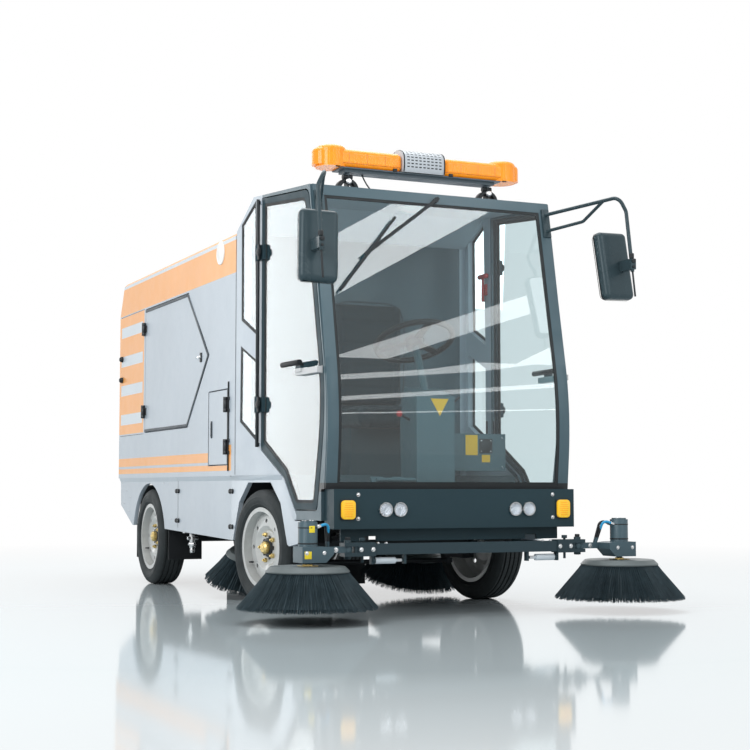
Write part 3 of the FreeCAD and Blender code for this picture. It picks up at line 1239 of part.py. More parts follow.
def make_front_brushes():
    """Make the lifting brush beam, the two swing arms with their motors, and the brushes."""
    half = s.beam_size / 2
    low = s.beam_height - half
    high = s.beam_height + half
    line = at(s.beam_station)
    lift = at(s.lift_station)
    wall = s.sleeve_wall
    parts = [box("beam_tube", (-s.beam_half, line - half, low), (s.beam_half, line + half, high))]
    for side in (-1, 1):
        tip = side * (s.arm_pivot + 26)
        parts.append(box("beam_link", (side * 400, line + half, low), (side * 430, lift, high)))
        parts.append(rod("beam_ear", (side * 415 - 15, lift, s.beam_height), "X", 30, 24))
        parts.append(box("beam_sleeve", (side * s.sleeve_start, line - half - wall, low - wall),
                         (side * s.sleeve_end, line + half + wall, high + wall)))
        for one, other in ((low - wall, low + 10), (high - 10, high + wall)):
            parts.append(box("pivot_fork", (side * s.sleeve_start, line - half - wall, one),
                             (tip, line + half + wall, other)))
        parts.append(rod("arm_pin", (side * s.arm_pivot, line, low - wall - 12), "Z",
                         s.beam_size + 2 * (wall + 12), 10))
        parts.append(rod("pin_nut", (side * s.arm_pivot, line, low - wall - 11), "Z", 11, 16))
        parts.append(rod("pin_nut", (side * s.arm_pivot, line, high + wall), "Z", 11, 16))
        parts.append(rod("stop_pin", (side * 515, line, low - wall - 28), "Z",
                         s.beam_size + 2 * wall + 46, 6))
        parts.append(rod("stop_knob", (side * 515, line, high + wall + 6), "Z", 14, 13))
        for start, end, radius in ((358, 470, 15), (312, 358, 7)):
            parts.append(rod("strut", (min(side * start, side * end), line, low - 26), "X",
                             end - start, radius))
        for place_x in (470, 312):
            parts.append(box("strut_lug", (side * place_x - 6, line - 12, low - 42),
                             (side * place_x + 6, line + 12, low + 1)))
    holes = [rod("lift_bore", (side * 415 - 20, lift, s.beam_height), "X", 40,
                 s.lift_pin + s.running_gap) for side in (-1, 1)]
    node(cut("brush_beam_solid", fused("brush_beam_blank", parts), holes), "brush_beam")

    plate_top = s.brush_bottom + s.brush_height
    hub = at(s.brush_station)
    cup_low = plate_top + 16
    eye_low = low + 10.3
    eye_high = high - 10.3
    eye = rod("arm_eye", (s.arm_pivot, line, eye_low), "Z", eye_high - eye_low, 20)
    bar = box("arm_bar", (s.arm_pivot + 12, line - 14, eye_low), (s.brush_out - 50, line + 14, eye_high))
    cup = new_body("motor_bracket")
    pad(cup, "XZ_Plane", [
        (s.brush_out - 95, eye_low), (s.brush_out - 60, cup_low), (s.brush_out + 50, cup_low),
        (s.brush_out + 50, s.motor_base), (s.brush_out - 60, s.motor_base),
        (s.brush_out - 95, eye_high)], -hub - 46, s.cup_length)
    motor = rod("brush_motor", (s.brush_out, hub, s.motor_base), "Z", s.motor_height, s.motor_radius)
    cap = rod("motor_cap", (s.brush_out, hub, s.motor_base + s.motor_height), "Z", 6, s.motor_radius - 8)
    shaft = rod("brush_shaft", (s.brush_out, hub, plate_top - 40), "Z", 60, s.brush_shaft)
    port_z = s.motor_base + s.motor_height - 22
    hoses = []
    for shift in (-14, 14):
        hoses.append(tube_along("motor_hose", [
            (s.brush_out - s.motor_radius + 6, hub + shift, port_z),
            (s.brush_out - 92, hub + shift + 6, port_z + 18),
            (s.brush_out - 108, line + shift / 2, eye_high - 4)], 6, 22))
    bore = rod("arm_bore", (s.arm_pivot, line, low), "Z", s.beam_size, 10 + s.running_gap)
    blank = fused("brush_arm_blank", [eye, bar, cup, motor, cap, shaft] + hoses)
    left_and_right("brush_arm", cut("brush_arm_solid", blank, [bore]))
    disc = place(brush("front_brush_disc", s.brush_radius, s.brush_height), s.brush_out, hub, s.brush_bottom)
    left_and_right("front_brush", disc)


def make_middle_brushes():
    """Make the two tilted middle brushes and the arms that slide up their posts."""
    tilt = dict(axis=Vector(1, 0, 0), angle=s.mid_tilt)
    hub = at(s.mid_station)
    pivot = at(s.mid_pivot)
    disc = place(brush("mid_brush_disc", s.mid_radius, s.mid_height), s.mid_out, hub, s.mid_raise, **tilt)
    left_and_right("mid_brush", disc)
    shaft = rod("mid_shaft", (0, 0, s.mid_height - 40), "Z", 70, s.brush_shaft)
    motor = rod("mid_motor", (0, 0, s.mid_height + 20), "Z", 102, s.motor_radius)
    head = place(fused("mid_head", [shaft, motor]), s.mid_out, hub, s.mid_raise, **tilt)
    arm = box("mid_arm_bar", (s.mid_out - 20, at(s.mid_station - 55), 325), (s.mid_out + 20, pivot, 355))
    sleeve = rod("mid_sleeve", (s.mid_out, pivot, s.sleeve_low), "Z",
                 s.sleeve_length, s.post_radius + 10)
    bore = rod("mid_bore", (s.mid_out, pivot, s.sleeve_low - 10), "Z", s.sleeve_length + 20,
               s.post_radius + s.running_gap)
    blank = fused("mid_arm_blank", [head, arm, sleeve])
    left_and_right("mid_brush_arm", cut("mid_arm_solid", blank, [bore]))


def make_brush_brackets():
    """Make the pins that the brush beam lifts about and the posts of the middle brushes."""
    lift = at(s.lift_station)
    outer = s.rail_inner + s.rail_width
    parts = []
    for side in (-1, 1):
        pins = [rod("lift_pin", (side * 415 - 40, lift, s.beam_height), "X", 80, s.lift_pin)]
        for out in (385, 433):
            pins.append(box("lift_cheek", (side * out, lift - 24, s.beam_height - 20),
                            (side * (out + 12), lift + 24, s.footwell - s.cab_sheet)))
        parts.append(fused("lift_bracket", pins))
    pivot = at(s.mid_pivot)
    post_low = s.sleeve_low - 10
    post = fused("mid_post", [
        rod("post_rod", (s.mid_out, pivot, post_low), "Z", s.cab_base - post_low, s.post_radius),
        box("post_brace", (outer, pivot - 25, s.rail_top), (s.mid_out + 20, pivot + 25, s.rail_top + 12)),
        box("post_web", (outer, pivot - 25, s.rail_top - 60), (outer + 10, pivot + 25, s.rail_top + 12)),
        rod("post_head", (s.mid_out, pivot, s.cab_base - 10), "Z", 10, s.post_radius + 20)])
    parts += [post, mirrored(post, "mid_post_mirrored")]
    group = doc.addObject("Part::Compound", "brush_bracket_group")
    group.Links = parts
    node(group, "brush_brackets")


def make_suction():
    """Make the suction nozzle and its duct under the body."""
    nozzle = box("nozzle_hood", (-340, at(960), 30), (340, at(1420), 150))
    hollow = box("nozzle_hollow", (-330, at(970), 20), (330, at(1410), 140))
    duct = rod("suction_duct", (0, at(s.duct_station), 140), "Z", s.cab_base - 140, s.duct_radius)
    duct_bore = rod("suction_bore", (0, at(s.duct_station), 100), "Z", s.cab_base, s.duct_radius - 6)
    node(cut("suction_nozzle", fused("nozzle_blank", [nozzle, duct]), [hollow, duct_bore]), "suction_nozzle")


# --- build and write ------------------------------------------------------------------------

def write_parts():
    """Recompute, check every object and write one STEP file for each sub-part."""
    doc.recompute()
    failed = [obj.Name for obj in doc.Objects if {"Invalid", "Error"} & set(obj.State)]
    if failed:
        raise RuntimeError("objects that failed: " + ", ".join(failed))
    for part in nodes:
        if part.Shape.isNull() or not part.Shape.isValid() or not part.Shape.Solids:
            raise RuntimeError("no valid solid in " + part.Label)
    os.makedirs("parts", exist_ok=True)
    for part in nodes:
        part.Shape.exportStep(os.path.join("parts", part.Label + ".step"))
    print(len(nodes), "sub-parts")


make_wheels()
make_steering()
make_rear_axle()
make_springs()
make_chassis()
make_cab()
make_cab_doors()
make_cab_inside()
make_roof_fittings()
make_mirrors()
make_wiper()
make_bumper()
make_body()
make_skirts()
make_rear_fittings()
make_front_brushes()
make_middle_brushes()
make_brush_brackets()
make_suction()
write_parts()
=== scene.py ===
"""Looks of a compact street sweeper truck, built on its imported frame.

Sizes are in metres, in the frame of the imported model: +Z is up, the truck drives
towards -Y and its left side is +X. A station is a distance behind the front axle.
"""
import json
import logging
import math
import random
from collections.abc import Sequence
from dataclasses import dataclass
from enum import Enum
from functools import cached_property

import bmesh
import bpy
from mathutils import Matrix, Vector


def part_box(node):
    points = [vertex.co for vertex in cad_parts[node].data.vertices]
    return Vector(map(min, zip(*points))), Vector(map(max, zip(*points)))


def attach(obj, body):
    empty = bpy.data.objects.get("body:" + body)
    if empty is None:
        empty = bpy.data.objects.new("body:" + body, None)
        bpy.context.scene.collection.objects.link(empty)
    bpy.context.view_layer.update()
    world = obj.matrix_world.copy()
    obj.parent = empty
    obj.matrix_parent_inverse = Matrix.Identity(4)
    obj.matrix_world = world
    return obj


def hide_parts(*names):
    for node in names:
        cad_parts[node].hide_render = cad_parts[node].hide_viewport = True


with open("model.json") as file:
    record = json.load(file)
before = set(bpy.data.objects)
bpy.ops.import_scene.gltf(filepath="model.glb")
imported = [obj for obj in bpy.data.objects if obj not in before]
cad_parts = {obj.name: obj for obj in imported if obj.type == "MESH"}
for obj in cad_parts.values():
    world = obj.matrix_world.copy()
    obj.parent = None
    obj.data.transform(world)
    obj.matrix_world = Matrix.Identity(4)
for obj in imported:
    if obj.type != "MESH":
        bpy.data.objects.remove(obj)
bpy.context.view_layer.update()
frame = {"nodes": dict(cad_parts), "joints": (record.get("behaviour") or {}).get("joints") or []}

LOG = logging.getLogger("sweeper")

Triple = tuple[float, float, float]
Pair = tuple[float, float]
Socket = bpy.types.NodeSocket
FAR = 99.0
TURN = 2 * math.pi
SIDES = ((1, "left"), (-1, "right"))


# --- places ---------------------------------------------------------------------------

class Datum:
    """Places that the trim is measured from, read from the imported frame."""

    def __init__(self) -> None:
        """Read the places from the boxes of the CAD nodes."""
        low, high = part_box("front_axle_beam")
        self.axle = (low.y + high.y) / 2
        low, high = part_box("body_roof")
        self.side, self.rear, self.roof = high.x + 0.030, high.y, high.z
        self.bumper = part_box("headlamps")[1].y
        self.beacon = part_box("beacon_lenses")[0].z
        low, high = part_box("side_hatch_left")
        self.hatch_rear, self.hatch_low, self.hatch_high = high.y - 0.015, low.z, high.z
        low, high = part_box("service_flap_left")
        self.flap_front, self.flap_rear = low.y + 0.015, high.y
        self.flap_low, self.flap_high = low.z, high.z

    def at(self, station: float) -> float:
        """Return the Y of a station."""
        return self.axle + station


DATUM = Datum()


def basis(origin: Sequence[float], along: Sequence[float], facing: Sequence[float]) -> Matrix:
    """Return a place from a point and two directions.

    Args:
        origin: the point.
        along: the way of the place's X.
        facing: the way that its Z points, as near as it can.

    Returns:
        The place.
    """
    first = Vector(along).normalized()
    second = Vector(facing).cross(first).normalized()
    turn = Matrix((first, second, first.cross(second))).transposed().to_4x4()
    return Matrix.Translation(Vector(origin)) @ turn


def spot(x: float, y: float, z: float) -> Matrix:
    """Return an unturned place."""
    return Matrix.Translation((x, y, z))


def turned(angle: float) -> Matrix:
    """Return a turn about Z."""
    return Matrix.Rotation(angle, 4, "Z")


def ahead(x: float, y: float, z: float) -> Matrix:
    """Return a place that faces ahead, its X to the left and its Y up."""
    return basis((x, y, z), (1, 0, 0), (0, -1, 0))


def outward(x: float, y: float, z: float) -> Matrix:
    """Return a place that faces left, its X to the rear and its Y up."""
    return basis((x, y, z), (0, 1, 0), (1, 0, 0))


def backward(x: float, y: float, z: float) -> Matrix:
    """Return a place that faces the rear, its X to the right and its Y up."""
    return basis((x, y, z), (-1, 0, 0), (0, 1, 0))


def upright(way: Vector) -> Matrix:
    """Return the turn that brings Z to a way."""
    return way.to_track_quat("Z", "Y").to_matrix().to_4x4()


def joint_place(name: str) -> Matrix:
    """Return the place of a joint, its axis along the place's Z."""
    joint = next(item for item in frame["joints"] if item["name"] == name)
    return spot(*joint["pos_m"]) @ upright(Vector(joint["axis"]))


def rectangle(low: Pair, high: Pair) -> list[Pair]:
    """Return the outline of a rectangle between two corners."""
    return [low, (high[0], low[1]), high, (low[0], high[1])]


def arc(radius: float, start: float, end: float, steps: int) -> list[Pair]:
    """Return points on a circle about zero, between two turns in radians."""
    turns = [start + (end - start) * step / steps for step in range(steps + 1)]
    return [(radius * math.cos(turn), radius * math.sin(turn)) for turn in turns]


def rounded(wide: float, high: float, corner: float) -> list[Pair]:
    """Return the outline of a rectangle with round corners.

    Args:
        wide: half its width.
        high: half its height.
        corner: the radius of its corners.

    Returns:
        The outline about zero.
    """
    outline = []
    for quarter, (x, y) in enumerate(((1, 1), (-1, 1), (-1, -1), (1, -1))):
        start = TURN / 4 * quarter
        outline += [(x * (wide - corner) + across, y * (high - corner) + up)
                    for across, up in arc(corner, start, start + TURN / 4, 6)]
    return outline


# --- finishes -------------------------------------------------------------------------

class Graph:
    """A node tree, with short calls for the nodes that the finishes use."""

    def __init__(self, owner: bpy.types.Material | bpy.types.World) -> None:
        """Empty the owner's tree.

        Args:
            owner: what the tree belongs to.
        """
        owner.use_nodes = True
        self.nodes, self.links = owner.node_tree.nodes, owner.node_tree.links
        self.nodes.clear()

    @cached_property
    def point(self) -> Socket:
        """Return the Object coordinates."""
        return self.add("TexCoord").outputs["Object"]

    @cached_property
    def axes(self) -> Sequence[Socket]:
        """Return the Object coordinates one by one."""
        return self.add("SeparateXYZ", {0: self.point}).outputs

    @cached_property
    def across(self) -> Socket:
        """Return X without its sign, so that both sides are alike."""
        return self.calc("ABSOLUTE", self.axes[0])

    def add(self, kind: str, inputs: dict | None = None, **settings: object) -> bpy.types.Node:
        """Add a node.

        Args:
            kind: the node's type, less the words that every type starts with.
            inputs: its inputs by name or number, each a value or another node's socket.
            settings: its other properties.

        Returns:
            The new node.
        """
        node = self.nodes.new("ShaderNode" + kind)
        for key, value in settings.items():
            setattr(node, key, value)
        for key, value in (inputs or {}).items():
            if isinstance(value, Socket):
                self.links.new(value, node.inputs[key])
            else:
                node.inputs[key].default_value = value
        return node

    def calc(self, operation: str, *values: object) -> Socket:
        """Return the result of a Math node."""
        return self.add("Math", dict(enumerate(values)), operation=operation).outputs[0]

    def noise(self, scale: float, detail: float, stretch: Triple = (1, 1, 1)) -> Socket:
        """Return noise over the object, from 0 to 1, stretched along the axes."""
        place = self.add("Mapping", {"Vector": self.point, "Scale": stretch}).outputs[0]
        return self.add("TexNoise", {"Vector": place, "Scale": scale, "Detail": detail}).outputs[0]

    def span(self, value: object, low: float, high: float, start: float = 0.3,
             end: float = 0.7) -> Socket:
        """Return a value from start to end, mapped to low to high."""
        return self.add("MapRange", {"Value": value, "From Min": start, "From Max": end,
                                     "To Min": low, "To Max": high}).outputs[0]

    def mix(self, share: object, first: object, second: object, blend: str = "MIX") -> Socket:
        """Return a mix of two colours."""
        return self.add("Mix", {0: share, 6: first, 7: second}, data_type="RGBA",
                        blend_type=blend).outputs[2]

    def within(self, value: object, low: float, high: float) -> Socket:
        """Return 1 where a value lies between two others, and 0 elsewhere."""
        above = self.calc("GREATER_THAN", value, low)
        return self.calc("MULTIPLY", above, self.calc("LESS_THAN", value, high))

    def wave(self, axis: int, scale: float) -> Socket:
        """Return a wave along an axis."""
        return self.calc("SINE", self.calc("MULTIPLY", self.axes[axis], scale))

    def shader(self, kind: str, inputs: dict) -> Socket:
        """Return a shader's output."""
        return self.add(kind, inputs).outputs[0]

    def end(self, shader: Socket, kind: str = "Material") -> None:
        """Lead a shader to the tree's end."""
        self.add("Output" + kind, {0: shader})


@dataclass(frozen=True)
class Zone:
    """A box in which a finish has another colour. X is taken without its sign.

    Its lower and upper faces can slope along Y, and their heights are then those at Y = 0.
    """

    colour: Triple
    x: Pair = (-FAR, FAR)
    y: Pair = (-FAR, FAR)
    z: Pair = (-FAR, FAR)
    slope: float = 0.0

    def mask(self, graph: Graph) -> object:
        """Build the box's mask.

        Args:
            graph: the finish's tree.

        Returns:
            1 inside the box and 0 outside.
        """
        _, y, height = graph.axes
        if self.slope:
            height = graph.calc("SUBTRACT", height, graph.calc("MULTIPLY", y, self.slope))
        result: object = 1.0
        for value, limits in zip((graph.across, y, height), (self.x, self.y, self.z)):
            if limits != (-FAR, FAR):
                inside = graph.within(value, *limits)
                result = inside if result == 1.0 else graph.calc("MULTIPLY", result, inside)
        return result


class Relief(Enum):
    """The kinds of fine relief."""

    PEEL = "the soft waves of sprayed paint"
    GRAIN = "the fine grain of moulded plastic or rubber"
    BRUSHED = "fine lines along one way"
    WEAVE = "the crossing threads of cloth"
    RIBS = "the upright ribs inside a lens"
    FACETS = "the facets of a lamp's reflector"


@dataclass(frozen=True)
class Finish:
    """A finish: its colour, its gloss, its relief and the zones of another colour."""

    name: str
    colour: Triple
    roughness: float = 0.45
    metallic: float = 0.0
    coat: float = 0.0
    relief: Relief = Relief.PEEL
    depth: float = 0.0002
    scale: float = 90.0
    mottle: float = 0.05
    clear: float = 0.0
    glow: float = 0.0
    sheen: float = 0.0
    lines: Triple = (1, 1, 1)
    shine: float = 0.5
    zones: tuple[Zone, ...] = ()
    ior: float = 1.45
    # glint tints every specular highlight cyan: a painted bluish reflection, standing in for the
    # bluish surroundings that the paint reflects
    glint: Triple = (0.84, 0.95, 1.0)

    def tint(self, graph: Graph) -> Socket:
        """Build the colour over the piece.

        Args:
            graph: the finish's tree.

        Returns:
            The colour, with the zones and a slight unevenness.
        """
        colour: object = (*self.colour, 1)
        for zone in self.zones:
            colour = graph.mix(zone.mask(graph), colour, (*zone.colour, 1))
        shade = graph.span(graph.noise(2.3, 4.0, self.lines), 1 - self.mottle, 1.0)
        fine = graph.span(graph.noise(37.0, 2.0, self.lines), 1 - self.mottle / 2, 1.0)
        level = graph.calc("MULTIPLY", shade, fine)
        grey = graph.add("CombineColor", dict.fromkeys(range(3), level)).outputs[0]
        return graph.mix(1.0, colour, grey, "MULTIPLY")

    def height(self, graph: Graph) -> Socket:
        """Build the relief.

        Args:
            graph: the finish's tree.

        Returns:
            The relief's height, from 0 to 1.
        """
        if self.relief is Relief.FACETS:
            return graph.add("TexVoronoi", {"Vector": graph.point, "Scale": self.scale}).outputs[0]
        if self.relief is Relief.WEAVE:
            threads = [graph.wave(axis, self.scale) for axis in range(3)]
            return graph.calc("MULTIPLY", graph.calc("ADD", threads[0], threads[2]), threads[1])
        if self.relief is Relief.RIBS:
            return graph.wave(0, self.scale)
        return graph.noise(self.scale, 2.0 if self.relief is Relief.PEEL else 6.0, self.lines)

    def normal(self, graph: Graph, height: Socket) -> Socket:
        """Return the normal of a relief that is as deep as the finish says."""
        return graph.add("Bump", {"Height": height, "Distance": self.depth}).outputs[0]

    def shader(self, graph: Graph) -> Socket:
        """Build the finish's shader.

        Args:
            graph: the finish's tree.

        Returns:
            The shader.
        """
        gloss = graph.span(graph.noise(11.0, 3.0, self.lines), self.roughness * 0.85,
                           min(1.0, self.roughness * 1.15))
        inputs = {
            "Base Color": self.tint(graph), "Roughness": gloss, "Metallic": self.metallic,
            "Coat Weight": self.coat, "Coat Roughness": 0.12, "Transmission Weight": self.clear,
            "Sheen Weight": self.sheen, "IOR": self.ior, "Specular IOR Level": self.shine,
            "Specular Tint": (*self.glint, 1), "Normal": self.normal(graph, self.height(graph))}
        if self.glow:
            inputs |= {"Emission Color": (*self.colour, 1), "Emission Strength": self.glow}
        return graph.shader("BsdfPrincipled", inputs)

    def material(self) -> bpy.types.Material:
        """Make the finish's material, or find it again.

        Returns:
            The material.
        """
        label = "sweeper_" + self.name
        found = bpy.data.materials.get(label)
        if found is None:
            found = bpy.data.materials.new(label)
            graph = Graph(found)
            graph.end(self.shader(graph))
        return found


@dataclass(frozen=True)
class Glazing(Finish):
    """Clear glass that lets the lamps' light through."""

    def shader(self, graph: Graph) -> Socket:
        """Build glass that is open air to shadows and to diffuse light.

        Args:
            graph: the finish's tree.

        Returns:
            The shader.
        """
        colour = (*self.colour, 1)
        glass = graph.shader("BsdfPrincipled", {
            "Base Color": colour, "Roughness": self.roughness, "Transmission Weight": 1.0,
            "IOR": self.ior, "Normal": self.normal(graph, graph.noise(0.9, 1.0))})
        path = graph.add("LightPath").outputs
        share = graph.calc("MAXIMUM", path["Is Shadow Ray"], path["Is Diffuse Ray"])
        return graph.shader("MixShader", {
            0: share, 1: glass, 2: graph.shader("BsdfTransparent", {"Color": colour})})


def grained(name: str, colour: Triple, roughness: float, scale: float = 90.0,
            **more: object) -> Finish:
    """Return a finish with the fine grain of moulded plastic, rubber or leather."""
    return Finish(name, colour, roughness, relief=Relief.GRAIN, scale=scale, **more)


SILVER: Triple = (0.44, 0.50, 0.56)
ORANGE: Triple = (0.87, 0.385, 0.105)
SLATE: Triple = (0.068, 0.114, 0.138)
BLACK: Triple = (0.018, 0.019, 0.021)
STEEL: Triple = (0.62, 0.63, 0.64)
BLUE: Triple = (0.03, 0.33, 0.62)
PALE: Triple = (0.60, 0.66, 0.71)
SHELL: Triple = (0.50, 0.54, 0.58)
UPPER_BAND: Pair = (0.713, 0.765)
LOWER_BAND: Pair = (0.667, 0.698)
REAR_FACE: Pair = (DATUM.rear - 0.0015, FAR)
HINGES = Zone(BLACK, x=(DATUM.side + 0.0015, FAR))


def rear_band(band: Pair) -> Zone:
    """Return an orange band across the rear."""
    return Zone(ORANGE, y=REAR_FACE, z=band)


def body_zones() -> tuple[Zone, ...]:
    """Lay out the bands, the blocks and the dark hinges of the body's sides.

    Returns:
        The zones, on the outer faces only.
    """
    outside = (DATUM.side - 0.001, FAR)
    slanted = (DATUM.side - 0.0295, FAR)
    low, high = DATUM.hatch_low, DATUM.hatch_high
    front, rear = DATUM.hatch_rear + 0.035, DATUM.rear
    foot = DATUM.flap_front - 0.065
    step = (high - low) / 8
    zones = [
        Zone(ORANGE, x=slanted, z=(high + 0.016, FAR)),
        Zone(PALE, x=slanted, z=(DATUM.roof - 0.036, DATUM.roof - 0.017)),
        Zone(ORANGE, x=outside, y=(front, rear), z=(low, high + 0.006)),
        Zone(ORANGE, x=outside, y=(DATUM.flap_rear + 0.008, FAR), z=UPPER_BAND),
        rear_band(UPPER_BAND),
        Zone(ORANGE, x=outside, y=(foot, FAR), z=LOWER_BAND),
        rear_band(LOWER_BAND),
        Zone(ORANGE, x=outside, y=(foot, DATUM.flap_front - 0.022), z=(0.667, 0.80))]
    zones += [Zone(PALE, x=outside, y=(front + 0.03, rear - 0.04),
                   z=(low + step * (index - 0.36), low + step * (index + 0.36)))
              for index in (1, 3, 5, 7)]
    return (*zones, HINGES)


def cab_zones() -> tuple[Zone, ...]:
    """Lay out the silver sides behind the doors and the dark seams of the cab.

    Returns:
        The zones.
    """
    at, side = DATUM.at, (0.60, FAR)
    slanted = [Zone(SILVER, x=side, y=(at(front), at(rear)), slope=slope,
                    z=(-FAR, height - slope * at(corner)))
               for front, rear, slope, corner, height in (
                   (-0.336, -0.044, 0.491, -0.046, 0.7625),
                   (-0.480, -0.334, 1.163, -0.335, 0.6205))]
    return (Zone(BLACK, y=(-FAR, at(-0.70)), z=(0.56, 0.60)),
            Zone(SILVER, x=side, y=(at(-0.046), FAR)), *slanted,
            Zone(BLACK, x=(0.668, FAR), y=(at(-0.042), at(-0.016)), z=(0.776, 2.05)),
            Zone(BLACK, x=side, y=(at(0.2965), FAR)))


BODY_PAINT = Finish("body_paint", SILVER, 0.34, coat=0.25, zones=body_zones())
PANEL_PAINT = Finish("panel_paint", SILVER, 0.34, coat=0.25, zones=(HINGES,))
ROOF_PAINT = Finish("roof_paint", SILVER, 0.36, coat=0.2)
REAR_PAINT = Finish("rear_paint", SILVER, 0.34, coat=0.25, zones=(
    rear_band(UPPER_BAND), rear_band(LOWER_BAND), Zone(BLACK, y=(DATUM.rear + 0.0015, FAR))))
CAB_PAINT = Finish("cab_paint", SLATE, 0.36, coat=0.1, shine=0.4, zones=cab_zones())
SLATE_PAINT = Finish("slate_paint", SLATE, 0.38, coat=0.1, shine=0.4)
BEAM_PAINT = Finish("beam_paint", (0.026, 0.045, 0.055), 0.40, shine=0.3, zones=(
    Zone(STEEL, x=(0.326, 0.345), z=(-FAR, 0.2825)),
    Zone(PALE, x=(0.345, 0.455), z=(-FAR, 0.2825))))
ARM_PAINT = Finish("arm_paint", (0.066, 0.108, 0.130), 0.38, coat=0.05, shine=0.35, zones=(
    Zone(BLUE, x=(0.60, 0.7465), y=(-FAR, DATUM.at(-0.989)), z=(0.3285, FAR)),
    Zone(BLACK, x=(0.60, FAR), y=(DATUM.at(-0.989), DATUM.at(-0.92)), z=(0.345, FAR))))
CAB_ROOF_PAINT = Finish("cab_roof_paint", (0.40, 0.45, 0.50), 0.36, coat=0.2)
DOOR_PAINT = Finish("door_paint", (0.028, 0.052, 0.064), 0.46, shine=0.2, zones=(
    Zone(BLACK, y=(DATUM.at(-0.600), DATUM.at(-0.360)), z=(1.139, 1.20)),
    Zone(STEEL, y=(DATUM.at(-0.768), DATUM.at(-0.509)), z=(1.095, 1.128)),
    Zone(BLACK, y=(-FAR, DATUM.at(-0.775)), x=(0.672, FAR))))
EDGING_RUBBER = grained("edging_rubber", (0.055, 0.066, 0.078), 0.5, 700.0)
AMBER_EDGE = grained("amber_edge", (0.62, 0.20, 0.01), 0.3)
SPRING_STEEL = Finish("spring_steel", (0.09, 0.09, 0.095), 0.5, 0.6, mottle=0.25)
BUMPER_PAINT = Finish("bumper_paint", (0.020, 0.043, 0.054), 0.44, depth=0.0003, scale=420.0,
                      shine=0.25)
CHASSIS_PAINT = Finish("chassis_paint", (0.030, 0.033, 0.037), 0.55, mottle=0.2)
RIM_PAINT = Finish("rim_paint", (0.56, 0.57, 0.56), 0.34, 0.15, coat=0.4, mottle=0.14)
RUBBER = grained("rubber", (0.030, 0.034, 0.035), 0.72, 600.0, mottle=0.3)
SEAL_RUBBER = grained("seal_rubber", (0.014, 0.015, 0.016), 0.55, 800.0)
BLACK_PLASTIC = grained("black_plastic", BLACK, 0.42, 1500.0, shine=0.35, depth=0.0001)
FLOOR_MAT = grained("floor_mat", (0.030, 0.052, 0.062), 0.6, 500.0)
MIRROR_SHELL = grained("mirror_shell", (0.036, 0.058, 0.068), 0.26, 1200.0, depth=0.00003,
                       shine=0.3)
BRIGHT_STEEL = Finish("bright_steel", STEEL, 0.26, 1.0, relief=Relief.BRUSHED, lines=(1, 1, 30),
                      depth=0.00005)
CHROME = Finish("chrome", (0.66, 0.69, 0.72), 0.06, 1.0, relief=Relief.FACETS, depth=0.0030,
                scale=260.0)
BRASS = Finish("brass", (0.72, 0.54, 0.22), 0.32, 1.0, mottle=0.2)
MIRROR_GLASS = Finish("mirror_glass", (0.86, 0.88, 0.89), 0.03, 1.0, depth=0.00001)
AMBER = Finish("amber_lens", (1.0, 0.35, 0.007), 0.2, coat=0.1, relief=Relief.RIBS, depth=0.00025,
               scale=520.0, clear=0.2, glow=0.10)
SIGNAL_AMBER = Finish("signal_amber", (1.0, 0.56, 0.02), 0.2, coat=0.2, relief=Relief.RIBS,
                      depth=0.0008, scale=900.0, clear=0.1, glow=0.30)
RED_LENS = Finish("red_lens", (0.62, 0.02, 0.015), 0.18, coat=0.6, relief=Relief.RIBS,
                  depth=0.0008, scale=900.0, clear=0.2)
BEACON_BASE = grained("beacon_base", BLACK, 0.42, shine=0.35, zones=(
    Zone(SHELL, x=(-FAR, 0.1125), z=(DATUM.beacon, FAR)),
    Zone((0.10, 0.13, 0.15), z=(DATUM.beacon - 0.030, DATUM.beacon - 0.001))))
LAMP_GLASS = Glazing("lamp_glass", (0.97, 0.98, 1.0), 0.02, depth=0.002)
WINDOW = Glazing("window_glass", (0.82, 0.905, 0.92), 0.0, depth=0.0004)
BRISTLE = grained("bristle", (0.045, 0.072, 0.087), 0.5, 300.0, shine=0.25, mottle=0.5)
DISC_PAINT = Finish("brush_disc", (0.120, 0.142, 0.145), 0.42, mottle=0.15)
SEAT_CLOTH = Finish("seat_cloth", (0.019, 0.034, 0.042), 0.8, relief=Relief.WEAVE, depth=0.00002,
                    scale=2400.0, sheen=0.1, shine=0.2)
PIPING = grained("seat_piping", (0.034, 0.050, 0.058), 0.6, 900.0)
YELLOW_LABEL = Finish("yellow_label", (0.90, 0.70, 0.03), 0.4, depth=0.00002)
CAB_LABEL = Finish("cab_label", (0.95, 0.52, 0.03), 0.4, depth=0.00002)
WHITE_LABEL = Finish("pale_label", (0.84, 0.85, 0.84), 0.35, depth=0.00002)
RED_PAINT = Finish("red_plastic", (0.55, 0.03, 0.03), 0.35)
CASING = grained("column_casing", (0.074, 0.130, 0.150), 0.45, 1100.0, depth=0.00004)
SPEAKER = grained("speaker_shell", SHELL, 0.42, 900.0)


# --- shapes ---------------------------------------------------------------------------

def verts_of(geometry: Sequence[object]) -> list[bmesh.types.BMVert]:
    """Return the vertices among what an operator made."""
    return [item for item in geometry if isinstance(item, bmesh.types.BMVert)]


def lathe_part(profile: Sequence[Pair], steps: int) -> bmesh.types.BMesh:
    """Turn a closed profile about Z.

    Args:
        profile: its points, as radius and height.
        steps: the number of steps round.

    Returns:
        The mesh.
    """
    part = bmesh.new()
    verts = [part.verts.new((radius, 0, height)) for radius, height in profile]
    edges = [part.edges.new(pair) for pair in zip(verts, verts[1:] + verts[:1])]
    bmesh.ops.spin(part, geom=verts + edges, axis=(0, 0, 1), cent=(0, 0, 0), steps=steps,
                   angle=TURN, use_merge=True, use_duplicate=False)
    bmesh.ops.remove_doubles(part, verts=part.verts, dist=1e-6)
    bmesh.ops.recalc_face_normals(part, faces=part.faces)
    return part


